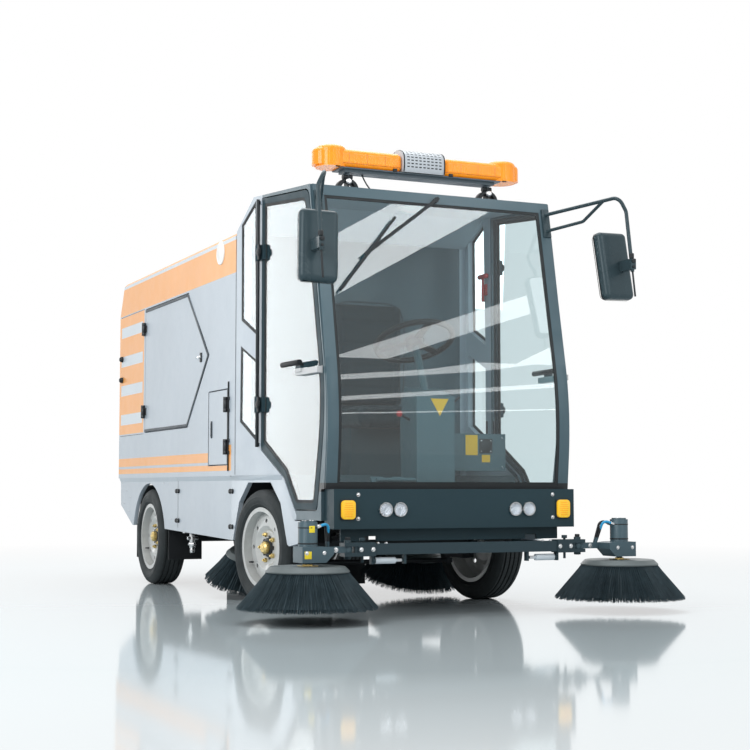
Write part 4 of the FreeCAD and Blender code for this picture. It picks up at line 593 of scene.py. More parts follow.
def evaluated(item: bpy.types.Object) -> bpy.types.Mesh:
    """Return an object's mesh with its modifiers or its curve's thickness in it."""
    graph = bpy.context.evaluated_depsgraph_get()
    return bpy.data.meshes.new_from_object(item.evaluated_get(graph))


def placed(name: str, data: bpy.types.ID) -> bpy.types.Object:
    """Put a new object into the scene.

    Args:
        name: its name.
        data: its mesh, curve, lamp or camera.

    Returns:
        The object.
    """
    made = bpy.data.objects.new(name, data)
    bpy.context.scene.collection.objects.link(made)
    return made


class Solid:
    """A mesh in the making. Each method that adds a part returns the solid itself."""

    def __init__(self) -> None:
        """Start with no parts."""
        self.mesh = bmesh.new()

    def join(self, part: bmesh.types.BMesh, place: Matrix = Matrix()) -> "Solid":
        """Put a part into the mesh, and free it.

        Args:
            part: the part, drawn about zero.
            place: where it goes.

        Returns:
            The solid.
        """
        bmesh.ops.transform(part, matrix=place, verts=part.verts)
        mesh = bpy.data.meshes.new("part")
        part.to_mesh(mesh)
        part.free()
        self.mesh.from_mesh(mesh)
        bpy.data.meshes.remove(mesh)
        return self

    def block(self, low: Sequence[float], high: Sequence[float], bevel: float = 0.0,
              segments: int = 2, place: Matrix = Matrix()) -> "Solid":
        """Add a block.

        Args:
            low: its lowest corner.
            high: its highest corner.
            bevel: how far its edges are rounded.
            segments: the number of steps in the rounding.
            place: where it goes.

        Returns:
            The solid.
        """
        low, high = Vector(low), Vector(high)
        part = bmesh.new()
        bmesh.ops.create_cube(part, size=1.0)
        bmesh.ops.scale(part, vec=high - low, verts=part.verts)
        bmesh.ops.translate(part, vec=(low + high) / 2, verts=part.verts)
        self.soften(part, part.edges[:], bevel, segments)
        return self.join(part, place)

    def bar(self, start: Sequence[float], end: Sequence[float], width: float, depth: float,
            bevel: float = 0.0, facing: Sequence[float] = (1, 0, 0)) -> "Solid":
        """Add a straight bar.

        Args:
            start: the middle of one end.
            end: the middle of the other.
            width: its size across.
            depth: its size along facing.
            bevel: how far its edges are rounded.
            facing: the way that its broad face points.

        Returns:
            The solid.
        """
        start, end = Vector(start), Vector(end)
        half = Vector(((end - start).length, width, depth)) / 2
        return self.block(-half, half, bevel, place=basis((start + end) / 2, end - start, facing))

    def rod(self, start: Sequence[float], end: Sequence[float], radius: float,
            bevel: float = 0.0, tip: float | None = None, sides: int = 20) -> "Solid":
        """Add a round bar.

        Args:
            start: the middle of one end.
            end: the middle of the other.
            radius: its radius.
            bevel: how far the edges of its ends are rounded.
            tip: the radius at its end, if it is another one.
            sides: the number of its sides.

        Returns:
            The solid.
        """
        start, end = Vector(start), Vector(end)
        part = bmesh.new()
        bmesh.ops.create_cone(part, cap_ends=True, segments=sides, radius1=radius,
                              radius2=radius if tip is None else tip, depth=(end - start).length)
        rims = [edge for edge in part.edges if abs(edge.verts[0].co.z - edge.verts[1].co.z) < 1e-6]
        self.soften(part, rims, bevel, 2, clamp=False)
        return self.join(part, Matrix.Translation((start + end) / 2) @ upright(end - start))

    def lathe(self, profile: Sequence[Pair], place: Matrix, steps: int = 48) -> "Solid":
        """Add a shape turned about Z from a profile of radius and height."""
        return self.join(lathe_part(profile, steps), place)

    def plate(self, outline: Sequence[Pair], depth: float, place: Matrix, bevel: float = 0.0,
              border: float = 0.0) -> "Solid":
        """Add a flat plate, or only its border.

        Args:
            outline: its outline in the place's XY plane.
            depth: its thickness.
            place: where it goes.
            bevel: how far its edges are rounded.
            border: how wide the border is, or 0 for a whole plate.

        Returns:
            The solid.
        """
        part = bmesh.new()
        faces = [part.faces.new([part.verts.new((x, y, 0)) for x, y in outline])]
        if border:
            whole = faces
            faces = bmesh.ops.inset_region(part, faces=whole, thickness=border,
                                           use_boundary=True, use_even_offset=True)["faces"]
            bmesh.ops.delete(part, geom=whole, context="FACES_ONLY")
        grown = bmesh.ops.extrude_face_region(part, geom=faces, use_keep_orig=True)["geom"]
        bmesh.ops.translate(part, vec=(0, 0, depth), verts=verts_of(grown))
        bmesh.ops.recalc_face_normals(part, faces=part.faces)
        self.soften(part, part.edges[:], bevel, 2)
        return self.join(part, place)

    def tube(self, points: Sequence[Sequence[float]], radius: float) -> "Solid":
        """Add a round tube along a smooth line.

        Args:
            points: the points that lead the line.
            radius: the tube's radius.

        Returns:
            The solid.
        """
        curve = bpy.data.curves.new("tube", "CURVE")
        curve.dimensions, curve.use_fill_caps, curve.resolution_u = "3D", True, 8
        curve.bevel_depth, curve.bevel_resolution = radius, 3
        spline = curve.splines.new("NURBS")
        spline.points.add(len(points) - 1)
        for target, point in zip(spline.points, points):
            target.co = (*point, 1)
        spline.order_u, spline.use_endpoint_u = 3, True
        carrier = placed("tube", curve)
        mesh = evaluated(carrier)
        self.mesh.from_mesh(mesh)
        bpy.data.objects.remove(carrier)
        bpy.data.curves.remove(curve)
        bpy.data.meshes.remove(mesh)
        return self

    @staticmethod
    def soften(part: bmesh.types.BMesh, edges: list[bmesh.types.BMEdge], bevel: float,
               segments: int, clamp: bool = True) -> None:
        """Round some of a part's edges.

        Args:
            part: the part.
            edges: the edges.
            bevel: how far they are rounded, or 0 to leave them.
            segments: the number of steps in the rounding.
            clamp: keeps roundings from running into each other.
        """
        if bevel:
            bmesh.ops.bevel(part, geom=edges, offset=bevel, segments=segments, affect="EDGES",
                            profile=0.5, material=-1, clamp_overlap=clamp)

    def mirror(self, geometry: Sequence[object]) -> None:
        """Send a part of the mesh to the truck's other side.

        Args:
            geometry: the part's vertices and faces, with others that are passed over.
        """
        faces = [item for item in geometry if isinstance(item, bmesh.types.BMFace)]
        bmesh.ops.scale(self.mesh, vec=(-1, 1, 1), verts=verts_of(geometry))
        bmesh.ops.reverse_faces(self.mesh, faces=faces)

    def everything(self) -> list[object]:
        """Return the mesh's vertices, edges and faces."""
        return self.mesh.verts[:] + self.mesh.edges[:] + self.mesh.faces[:]

    def piece(self, name: str, finish: Finish, body: str = "chassis", side: int = 1,
              sharp: float = 35.0, slot: str = "") -> bpy.types.Object:
        """Make the finished object.

        Args:
            name: the piece's name.
            finish: its finish.
            body: the CAD body that it rides on.
            side: -1 puts it on the other side of the truck.
            sharp: the angle in degrees above which an edge stays sharp.
            slot: the name of a material slot in the record; not used.

        Returns:
            The object, at the origin with its place in its mesh.
        """
        if side < 0:
            self.mirror(self.everything())
        for face in self.mesh.faces:
            face.smooth = True
        mesh = bpy.data.meshes.new(name)
        self.mesh.to_mesh(mesh)
        self.mesh.free()
        mesh.set_sharp_from_angle(angle=math.radians(sharp))
        mesh.materials.append(finish.material())
        made = placed(name, mesh)
        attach(made, body)
        LOG.info("%s on %s: %d faces", name, body, len(mesh.polygons))
        return made

    def pair(self, name: str, finish: Finish, body: str = "chassis", sharp: float = 35.0,
             slot: str = "") -> bpy.types.Object:
        """Make the finished object, with a mirror image of all on the truck's other side."""
        self.mirror(bmesh.ops.duplicate(self.mesh, geom=self.everything())["geom"])
        return self.piece(name, finish, body, sharp=sharp, slot=slot)


def edge_strip(node: str, through: Triple, width: float, proud: float) -> Solid:
    """Lay a rubber strip along the edges of a CAD node's panes.

    Args:
        node: the CAD node.
        through: the way through the panes.
        width: how far the strip reaches over the glass.
        proud: how far it stands out of the glass on both faces.

    Returns:
        The strip.
    """
    part = bmesh.new()
    part.from_mesh(frame["nodes"][node].data)
    bmesh.ops.remove_doubles(part, verts=part.verts, dist=1e-5)
    flat = [face for face in part.faces if abs(face.normal.dot(Vector(through))) > 0.6]
    moves = {}
    for face in flat:
        for vert in face.verts:
            moves[vert] = moves.get(vert, Vector()) + face.normal * face.calc_area()
    for vert, move in moves.items():
        vert.co += move.normalized() * proud
    bmesh.ops.delete(part, geom=flat, context="FACES_ONLY")
    for loose, context in ((part.verts, "VERTS"), (part.edges, "EDGES")):
        bare = [item for item in loose if not item.link_faces]
        bmesh.ops.delete(part, geom=bare, context=context)
    part.normal_update()
    bmesh.ops.solidify(part, geom=part.faces[:], thickness=width)
    bmesh.ops.recalc_face_normals(part, faces=part.faces)
    return Solid().join(part)


# --- wheels and brushes ---------------------------------------------------------------

@dataclass
class Wheel:
    """A grooved tyre, a hub and its nuts, drawn about Z with the wheel's outer side up."""

    body: str
    side: int
    steps: int = 96
    bead: float = 0.1833
    tread: float = 0.2835
    groove: float = 0.007
    block_gap: float = 0.0012
    block_depth: float = 0.0015
    nuts: int = 5
    nut_ring: float = 0.066
    valve_ring: float = 0.158
    disc: float = 0.0262

    @cached_property
    def place(self) -> Matrix:
        """Return the wheel's place, its Z pointing away from the truck."""
        place = joint_place(self.body.replace("wheel_", "wheel_spin_"))
        return place if self.side > 0 else place @ Matrix.Rotation(math.pi, 4, "X")

    def profile(self) -> list[Pair]:
        """Draw the tyre's section.

        Returns:
            The section as radius and height: side wall with its rings, grooved crown, side wall.
        """
        half = [(self.bead, 0.0645), (0.1985, 0.0655), (0.2030, 0.0705), (0.2100, 0.0765),
                (0.2118, 0.0798), (0.2160, 0.0804), (0.2172, 0.0794), (0.2250, 0.0823),
                (0.2340, 0.0838), (0.2430, 0.0832), (0.2440, 0.0839), (0.2475, 0.0837),
                (0.2488, 0.0826), (0.2580, 0.0796), (0.2680, 0.0752), (0.2745, 0.0706),
                (0.2790, 0.0650), (0.2812, 0.0600), (self.tread - 0.0010, 0.0575)]
        low = self.tread - self.groove
        for outer, inner in ((0.0450, 0.0380), (0.0165, 0.0095)):
            half += [(self.tread - 0.0005, outer), (low, outer - self.block_gap),
                     (low, inner + self.block_gap), (self.tread, inner)]
        return half + [(radius, -height) for radius, height in reversed(half)]

    def tyre(self) -> None:
        """Build the tyre with its tread blocks."""
        part = lathe_part(self.profile(), self.steps)
        blocks = [face for face in part.faces if face.normal.xy.length > 0.9
                  and face.calc_center_median().xy.length > self.tread - self.block_depth]
        bmesh.ops.inset_individual(part, faces=blocks, thickness=self.block_gap,
                                   depth=self.block_depth)
        tyre = Solid().join(part, self.place).piece(self.body + "_tyre", RUBBER, self.body,
                                                    sharp=28, slot="tyre")
        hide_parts(self.body.replace("wheel", "tyre"))

    def build(self) -> None:
        """Build the tyre, the hub, its cap, its nuts and the valve."""
        self.tyre()
        place, ring, metal = self.place, Solid(), Solid()
        ring.lathe([(0.0312, self.disc), (0.0312, 0.035), (0.040, 0.035), (0.0465, 0.031),
                    (0.0465, self.disc)], place)
        metal.lathe([(0, 0.0620), (0.010, 0.0620), (0.0112, 0.0600), (0.0225, 0.0598),
                     (0.0305, 0.0520), (0.0309, self.disc), (0, self.disc)], place)
        for index in range(self.nuts):
            turn = place @ turned(TURN * index / self.nuts)
            ring.block((0.040, -0.010, self.disc), (0.060, 0.010, 0.0300), 0.002,
                       place=turn @ turned(TURN / self.nuts / 2))
            nut = turn @ spot(self.nut_ring, 0, 0)
            for inner, outer, shoulder, top, sides in (
                    (0.0050, 0.0062, 0.0465, 0.0480, 12), (0.0095, 0.0118, 0.0380, 0.0400, 6)):
                metal.lathe([(0, top), (inner, top), (outer, shoulder), (outer, self.disc),
                             (0, self.disc)], nut, sides)
        ring.piece(self.body + "_hub_ring", BLACK_PLASTIC, self.body)
        metal.piece(self.body + "_nuts", BRASS, self.body, sharp=25)
        Solid().lathe([(0, 0.060), (0.0030, 0.060), (0.0036, 0.052), (0.0042, 0.050),
                       (0.0050, 0.030), (0, 0.030)],
                      place @ turned(0.5) @ spot(self.valve_ring, 0, 0), 12).piece(
                          self.body + "_valve", SEAL_RUBBER, self.body)


@dataclass
class DiscBrush:
    """A disc brush drawn about Z, its bristles' tips at zero."""

    joint: str
    body: str
    radius: float
    height: float
    tufts: int = 120
    plate: float = 0.181
    kinds: int = 4
    strands: int = 7
    steps: int = 80
    slots: Pair = (0.078, 0.128)
    slot_depth: float = 0.007
    slot_every: int = 10
    slot_steps: int = 2

    def strand(self, part: bmesh.types.BMesh, base: Vector, tip: Vector, thick: float) -> None:
        """Add one bristle, straight and slightly thinner at its tip.

        Args:
            part: the mesh that it goes into.
            base: where it stands in the disc.
            tip: its free end.
            thick: its radius at the base.
        """
        made = bmesh.ops.create_cone(part, cap_ends=True, segments=3, radius1=thick,
                                     radius2=thick * 0.7, depth=(tip - base).length)
        place = Matrix.Translation((base + tip) / 2) @ upright(tip - base)
        bmesh.ops.transform(part, matrix=place, verts=made["verts"])

    @cached_property
    def place(self) -> Matrix:
        """Return the brush's place."""
        return joint_place(self.joint)

    def bristles(self) -> Solid:
        """Build the rows of tufts round a dark core.

        Returns:
            The bristles.
        """
        draw = random.Random(len(self.body) + round(self.radius * 1000)).uniform
        top = self.height - 0.027
        rows = ((0.174, self.radius - 0.008, top), (0.158, self.radius - 0.034, top - 0.003),
                (0.138, self.radius - 0.060, top - 0.003))
        solid = Solid()
        pitch = TURN / self.tufts
        turns = self.tufts // self.kinds
        for kind in range(self.kinds):
            part = bmesh.new()
            for row, (inner, outer, high) in enumerate(rows):
                for _ in range(self.strands):
                    lean = (kind + row / 3) * pitch + draw(-0.2, 0.2) * pitch
                    sway = draw(-0.42, 0.42) * pitch
                    reach = outer + draw(-0.009, 0.007)
                    base = turned(lean) @ Vector((inner + draw(-0.004, 0.004), 0, high))
                    tip = turned(lean + sway) @ Vector((reach, 0, draw(0.0, 0.012)))
                    self.strand(part, base, tip, draw(0.0013, 0.0019))
            bmesh.ops.spin(part, geom=part.verts[:] + part.edges[:] + part.faces[:],
                           axis=(0, 0, 1), cent=(0, 0, 0), steps=turns - 1,
                           angle=TURN * (turns - 1) / turns, use_merge=False, use_duplicate=True)
            solid.join(part, self.place)
        return solid.lathe([(0.128, top), (0.170, top), (self.radius - 0.024, 0.020),
                            (self.radius - 0.062, 0.020)], self.place, 60)

    def disc(self) -> Solid:
        """Build the slotted disc that the bristles stand in.

        Returns:
            The disc.
        """
        top, (inner, outer) = self.height, self.slots
        part = lathe_part([
            (0.0142, top - 0.030), (0.0142, top + 0.003), (0.034, top + 0.003), (0.035, top),
            (inner, top), (outer, top), (0.158, top), (0.162, top - 0.001),
            (self.plate, top - 0.020), (self.plate, top - 0.024), (0.176, top - 0.028)], self.steps)
        slots = []
        for face in part.faces:
            middle = face.calc_center_median()
            share = math.atan2(middle.y, middle.x) % TURN / TURN
            if face.normal.z > 0.9 and middle.z > top - 0.002 \
                    and inner < middle.xy.length < outer \
                    and int(share * self.steps) % self.slot_every < self.slot_steps:
                slots.append(face)
        sunk = bmesh.ops.extrude_face_region(part, geom=slots)["geom"]
        bmesh.ops.translate(part, vec=(0, 0, -self.slot_depth), verts=verts_of(sunk))
        return Solid().join(part, self.place)

    def build(self) -> None:
        """Build the bristles, the disc and its brass nut."""
        bristles = self.bristles().piece(self.body + "_bristles", BRISTLE, self.body,
                                         slot="bristles")
        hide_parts(self.body)
        self.disc().piece(self.body + "_disc", DISC_PAINT, self.body, sharp=25)
        top = self.height + 0.003
        nut = Solid().lathe([(0.0145, top + 0.006), (0.021, top + 0.006), (0.024, top + 0.004),
                             (0.024, top), (0.0145, top)], self.place, 6)
        nut.plate(rectangle((-0.035, -0.035), (0.035, 0.035)), 0.003,
                  self.place @ spot(0, 0, top - 0.0028), 0.0008)
        nut.piece(self.body + "_nut", BRASS, self.body, sharp=25)


# --- cab ------------------------------------------------------------------------------

@dataclass
class CabGlazing:
    """The rubber seals round the cab's glass."""

    strip: float = 0.014
    proud: float = 0.0025

    def build(self) -> None:
        """Build a seal for each pane."""
        panes = (("windshield", (0, 1, 0), "chassis"), ("quarter_windows", (1, 0, 0), "chassis"),
                 *(("door_glass_" + name, (1, 0, 0), "cab_door_" + name) for _, name in SIDES))
        for node, through, body in panes:
            edge_strip(node, through, self.strip, self.proud).piece(
                node + "_seal", SEAL_RUBBER, body, sharp=30)


@dataclass
class CabFittings:
    """The fittings inside the cab: labels, switches, dials, hammer and lamp."""

    casing_station: float = -0.6402
    box_station: float = -0.5602
    dash_station: float = -0.4772
    dials: Pair = (-0.045, 0.045)
    rockers: int = 5
    rocker_pitch: float = 0.033
    hammer: Pair = (0.603, 0.005)
    screws: tuple[Pair, ...] = ((0.285, 0.755), (0.337, 0.755), (0.285, 0.807), (0.337, 0.807),
                                (0.400, 0.680), (0.400, 0.820))

    def labels(self) -> None:
        """Build the blank stickers on the casing and the switch box, and the switch plate."""
        box = ahead(0, DATUM.at(self.box_station), 0)
        stickers = Solid().plate([(-0.026, 1.000), (0.068, 1.000), (0.022, 0.918)], 0.0006,
                                 ahead(0, DATUM.at(self.casing_station), 0))
        for low, high in (((0.200, 0.7355), (0.266, 0.8335)), ((0.289, 0.702), (0.334, 0.738))):
            stickers.plate(rectangle(low, high), 0.0006, box)
        stickers.piece("cab_labels", CAB_LABEL)
        Solid().plate(rectangle((0.276, 0.746), (0.346, 0.816)), 0.003, box, 0.0008).piece(
            "switch_plate", BLACK_PLASTIC)
        screws = Solid()
        for x, z in self.screws:
            screws.lathe([(0, 0.0055), (0.0028, 0.0050), (0.0042, 0.0030), (0.0042, 0), (0, 0)],
                         box @ spot(x, z, 0), 12)
        screws.piece("switch_screws", BRIGHT_STEEL)

    def dash(self) -> None:
        """Build the dials, rockers and levers round the steering column."""
        at = DATUM.at
        face = basis((0, at(self.dash_station), 0.980), (1, 0, 0), (0, 0.963, 0.27))
        dark, rims = Solid(), Solid()
        dark.plate(rectangle((-0.09, -0.06), (0.09, 0.06)), 0.006, face, 0.002)
        for x in self.dials:
            dial = face @ spot(x, 0.018, 0.006)
            rims.lathe([(0.028, 0), (0.032, 0), (0.032, 0.008), (0.028, 0.008)], dial, 32)
            dark.lathe([(0, 0.004), (0.0285, 0.004), (0.0285, 0), (0, 0)], dial, 32)
        for index in range(self.rockers):
            x = (index - self.rockers // 2) * self.rocker_pitch
            dark.block((x - 0.011, -0.050, 0.006), (x + 0.011, -0.026, 0.012), 0.002, place=face)
        dark.rod((0.10, at(-0.53), 0.95), (0.20, at(-0.50), 1.02), 0.006)
        dark.rod((-0.10, at(-0.56), 0.90), (-0.155, at(-0.575), 0.925), 0.006)
        for x in (0.35, 0.39):
            dark.rod((x, at(-0.50), 0.84), (x, at(-0.50), 0.905), 0.005)
        dark.piece("dash_controls", BLACK_PLASTIC)
        rims.piece("dial_rims", BRIGHT_STEEL)
        Solid().lathe([(0, 0.016), (0.009, 0.014), (0.014, 0.006), (0.014, -0.004), (0.008, -0.013),
                       (0, -0.014)], spot(-0.160, at(-0.576), 0.927), 24).piece(
                           "lever_knobs", RED_PAINT)

    def hammer_and_lamp(self) -> None:
        """Build the red rescue hammer, the roof lamp and the wheel's horn pad."""
        x, y = self.hammer[0], DATUM.at(self.hammer[1])
        hammer = Solid().rod((x, y, 1.565), (x, y, 1.695), 0.009, 0.002, tip=0.007)
        hammer.rod((x, y - 0.042, 1.700), (x, y + 0.042, 1.700), 0.013, 0.003)
        hammer.block((x + 0.008, y - 0.014, 1.60), (x + 0.022, y + 0.014, 1.66), 0.003)
        hammer.piece("rescue_hammer", RED_PAINT)
        ceiling = spot(0.08, DATUM.at(-0.24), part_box("cab_roof")[1].z - 0.044)
        Solid().lathe([(0, -0.030), (0.045, -0.027), (0.070, -0.014), (0.078, 0.006), (0, 0.006)],
                      ceiling, 40).piece("roof_lamp", WHITE_LABEL)
        low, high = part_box("steering_wheel")
        Solid().lathe([(0, 0.030), (0.030, 0.028), (0.046, 0.018), (0.050, 0.0), (0, 0)],
                      basis((low + high) / 2, (1, 0, 0), (0, 0.4226, 0.9063)), 40).piece(
                          "horn_pad", BLACK_PLASTIC)

    def build(self) -> None:
        """Build all the fittings."""
        self.labels()
        self.dash()
        self.hammer_and_lamp()


@dataclass
class SeatPad:
    """A stuffed seat pad with sewn channels, which takes a CAD pad's place.

    Its broad face looks along the axis that thin numbers.
    """

    node: str
    thin: int
    inset: float = 0.010
    corner: float = 0.028
    voxel: float = 0.008
    pressure: float = 4.0
    cap: float = 0.014
    frames: int = 20
    channel: float = 0.006
    seams: tuple[float, ...] = (0.2, 0.4, 0.6, 0.8)
    side_seams: Pair = (-0.150, 0.150)
    seam_widths: Pair = (0.012, 0.006)
    cord: float = 0.0035
    cord_inset: Pair = (0.012, 0.016)

    def swell(self, made: bpy.types.Object) -> None:
        """Blow the pad up as cloth, and hold each point within the cap.

        Args:
            made: the pad.
        """
        cloth = made.modifiers.new("cloth", "CLOTH")
        cloth.settings.use_pressure = True
        cloth.settings.uniform_pressure_force = self.pressure
        cloth.settings.effector_weights.gravity = 0.0
        cloth.point_cache.frame_end = self.frames
        for step in range(1, self.frames + 1):
            bpy.context.scene.frame_set(step)
        swollen = evaluated(made)
        made.modifiers.clear()
        for vert, end in zip(made.data.vertices, swollen.vertices):
            move = end.co - vert.co
            if move.length > self.cap:
                move *= self.cap / move.length
            vert.co += move
        bpy.data.meshes.remove(swollen)
        bpy.context.scene.frame_set(1)

    @cached_property
    def box(self) -> tuple[Vector, Vector]:
        """Return the lowest and the highest corner of the CAD pad."""
        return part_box(self.node)

    def sew(self, made: bpy.types.Object) -> None:
        """Press the sewn channels into the pad's broad faces.

        Args:
            made: the pad.
        """
        low, high = self.box
        long = 3 - self.thin
        middle = (low + high) / 2
        wide, narrow = self.seam_widths
        for vert in made.data.vertices:
            share = (vert.co[long] - low[long]) / (high[long] - low[long])
            dip = sum(math.exp(-((share - line) / wide) ** 2) for line in self.seams)
            dip += sum(math.exp(-((vert.co.x - line) / narrow) ** 2) for line in self.side_seams)
            away = 1 if vert.co[self.thin] > middle[self.thin] else -1
            vert.co[self.thin] -= away * self.channel * min(1.0, dip)

    def build(self) -> None:
        """Build the pad with its piping."""
        low, high = self.box
        shrink = Vector((self.inset,) * 3)
        made = Solid().block(low + shrink, high - shrink, self.corner, 4).piece(
            self.node + "_pad", SEAT_CLOTH, slot="seat_fabric")
        made.modifiers.new("remesh", "REMESH").voxel_size = self.voxel
        even = evaluated(made)
        made.modifiers.clear()
        made.data = even
        self.swell(made)
        self.sew(made)
        for polygon in made.data.polygons:
            polygon.use_smooth = True
        smooth = made.modifiers.new("smooth", "SUBSURF")
        smooth.levels = smooth.render_levels = 1
        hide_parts(self.node)
        self.piping()

    def piping(self) -> None:
        """Build the piping round the pad's broad face."""
        low, high = self.box
        margin, sunk = self.cord_inset
        near, far = low + Vector((margin,) * 3), high - Vector((margin,) * 3)
        level = high.z - sunk if self.thin == 2 else low.y + sunk
        points = []
        for x, other in ((near, near), (far, near), (far, far), (near, far), (near, near)):
            point = Vector((x.x, other.y, other.z))
            point[self.thin] = level
            points.append(point)
        line = [start.lerp(end, share) for start, end in zip(points, points[1:])
                for share in (0.12, 0.5, 0.88)]
        Solid().tube(line + line[:1], self.cord).piece(self.node + "_piping", PIPING)


# --- trim -----------------------------------------------------------------------------

CAB_ROOF_ENDS = ((-0.628, 1.985), (0.068, 2.040))


def cab_roof_height(y: float) -> float:
    """Return the height of the cab's roof, which rises from its front end to its rear end."""
    (front, low), (rear, high) = CAB_ROOF_ENDS
    return low + (y - DATUM.at(front)) / (rear - front) * (high - low)


@dataclass
class CabTrim:
    """The discs on the door hinges and the ribs of the cab's roof."""

    hinge_heights: Pair = (0.986, 1.742)
    hinge_station: float = -0.060
    rib_stations: Pair = (-0.30, -0.02)
    rib_half: float = 0.55

    def build(self) -> None:
        """Build the hinge discs and the roof's ribs."""
        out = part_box("cab_door_left")[1].x - 0.010
        for side, name in SIDES:
            discs = Solid()
            for height in self.hinge_heights:
                place = outward(out, DATUM.at(self.hinge_station), height)
                discs.lathe([(0, 0.009), (0.006, 0.009), (0.007, 0.0075), (0.016, 0.0075),
                             (0.020, 0.005), (0.021, -0.004), (0, -0.004)], place, 32)
                discs.block((-0.008, -0.038, -0.008), (0.014, 0.038, 0.002), 0.003, place=place)
            body = "cab_door_" + name
            discs.piece(body + "_hinge_discs", BLACK_PLASTIC, body, side)
        ribs = Solid()
        for y in map(DATUM.at, self.rib_stations):
            height = cab_roof_height(y) + 0.001
            ribs.bar((-self.rib_half, y, height), (self.rib_half, y, height), 0.018, 0.004, 0.0015,
                     (0, 0, 1))
        ribs.piece("cab_roof_ribs", CAB_ROOF_PAINT)


@dataclass
class Bumper:
    """The bolts, headlamps and turn signals on the bumper's face."""

    lamp_height: float = 0.480
    lamps: Pair = (0.296, 0.368)
    bolts: tuple[Pair, ...] = ((0.500, 0.547), (0.500, 0.440))
    signal_ribs: int = 7
    rib_pitch: float = 0.0095

    def headlamps(self) -> None:
        """Build the bezels, the reflectors and the lenses."""
        bezels, bowls, lenses = Solid(), Solid(), Solid()
        for x in self.lamps:
            place = ahead(x, DATUM.bumper, self.lamp_height)
            bezels.lathe([(0.0285, 0), (0.0325, 0), (0.0330, 0.009), (0.0315, 0.0125),
                          (0.0292, 0.0125), (0.0285, 0.0105)], place)
            bowls.lathe([(0, 0.0005), (0.006, 0.0045), (0.007, 0.0015), (0.015, 0.0030),
                         (0.023, 0.0060), (0.0284, 0.0098), (0.0284, 0), (0, 0)],
                        place @ turned(x), 14)
            lenses.lathe([(0, 0.0138), (0.012, 0.0135), (0.022, 0.0124), (0.0284, 0.0106),
                          (0.0284, 0.0099), (0, 0.0118)], place, 40)
        made = bowls.pair("headlamp_reflectors", CHROME, sharp=4)
        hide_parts("headlamps")
        bezels.pair("headlamp_bezels", BRIGHT_STEEL)
        lenses.pair("headlamp_lenses", LAMP_GLASS, slot="lamp_lens")

    def signals(self) -> None:
        """Build the turn signals."""
        low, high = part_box("turn_signals")
        deep = high.y - low.y
        seats, lenses, ribs = Solid(), Solid(), Solid()
        seats.block((high.x - 0.073, high.y - 0.005, low.z + 0.001),
                    (high.x - 0.002, high.y, high.z - 0.001), 0.002)
        place = ahead(high.x - 0.0375, high.y - 0.002, (low.z + high.z) / 2)
        lenses.plate(rounded(0.0335, 0.042, 0.017), deep - 0.0025, place, 0.0045)
        for index in range(self.signal_ribs):
            step = index - self.signal_ribs // 2
            reach, up = 0.024 - abs(step) * 0.002, step * self.rib_pitch
            ribs.block((-reach, up, 0.013), (reach, up + 0.0020, deep - 0.0018), 0.0006,
                       place=place)
        seats.pair("signal_seats", BLACK_PLASTIC)
        made = lenses.pair("signal_lenses", SIGNAL_AMBER, slot="amber_lens")
        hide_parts("turn_signals")
        ribs.pair("signal_ribs", AMBER)

    def build(self) -> None:
        """Build the lamps and the bolts."""
        self.headlamps()
        self.signals()
        bolts = Solid()
        for x, z in self.bolts:
            bolts.lathe([(0, 0.0062), (0.003, 0.0058), (0.0062, 0.0035), (0.0072, 0.0008),
                         (0.0090, 0.0008), (0.0092, 0), (0, 0)], ahead(x, DATUM.bumper, z), 20)
        bolts.pair("bumper_bolts", BRIGHT_STEEL)


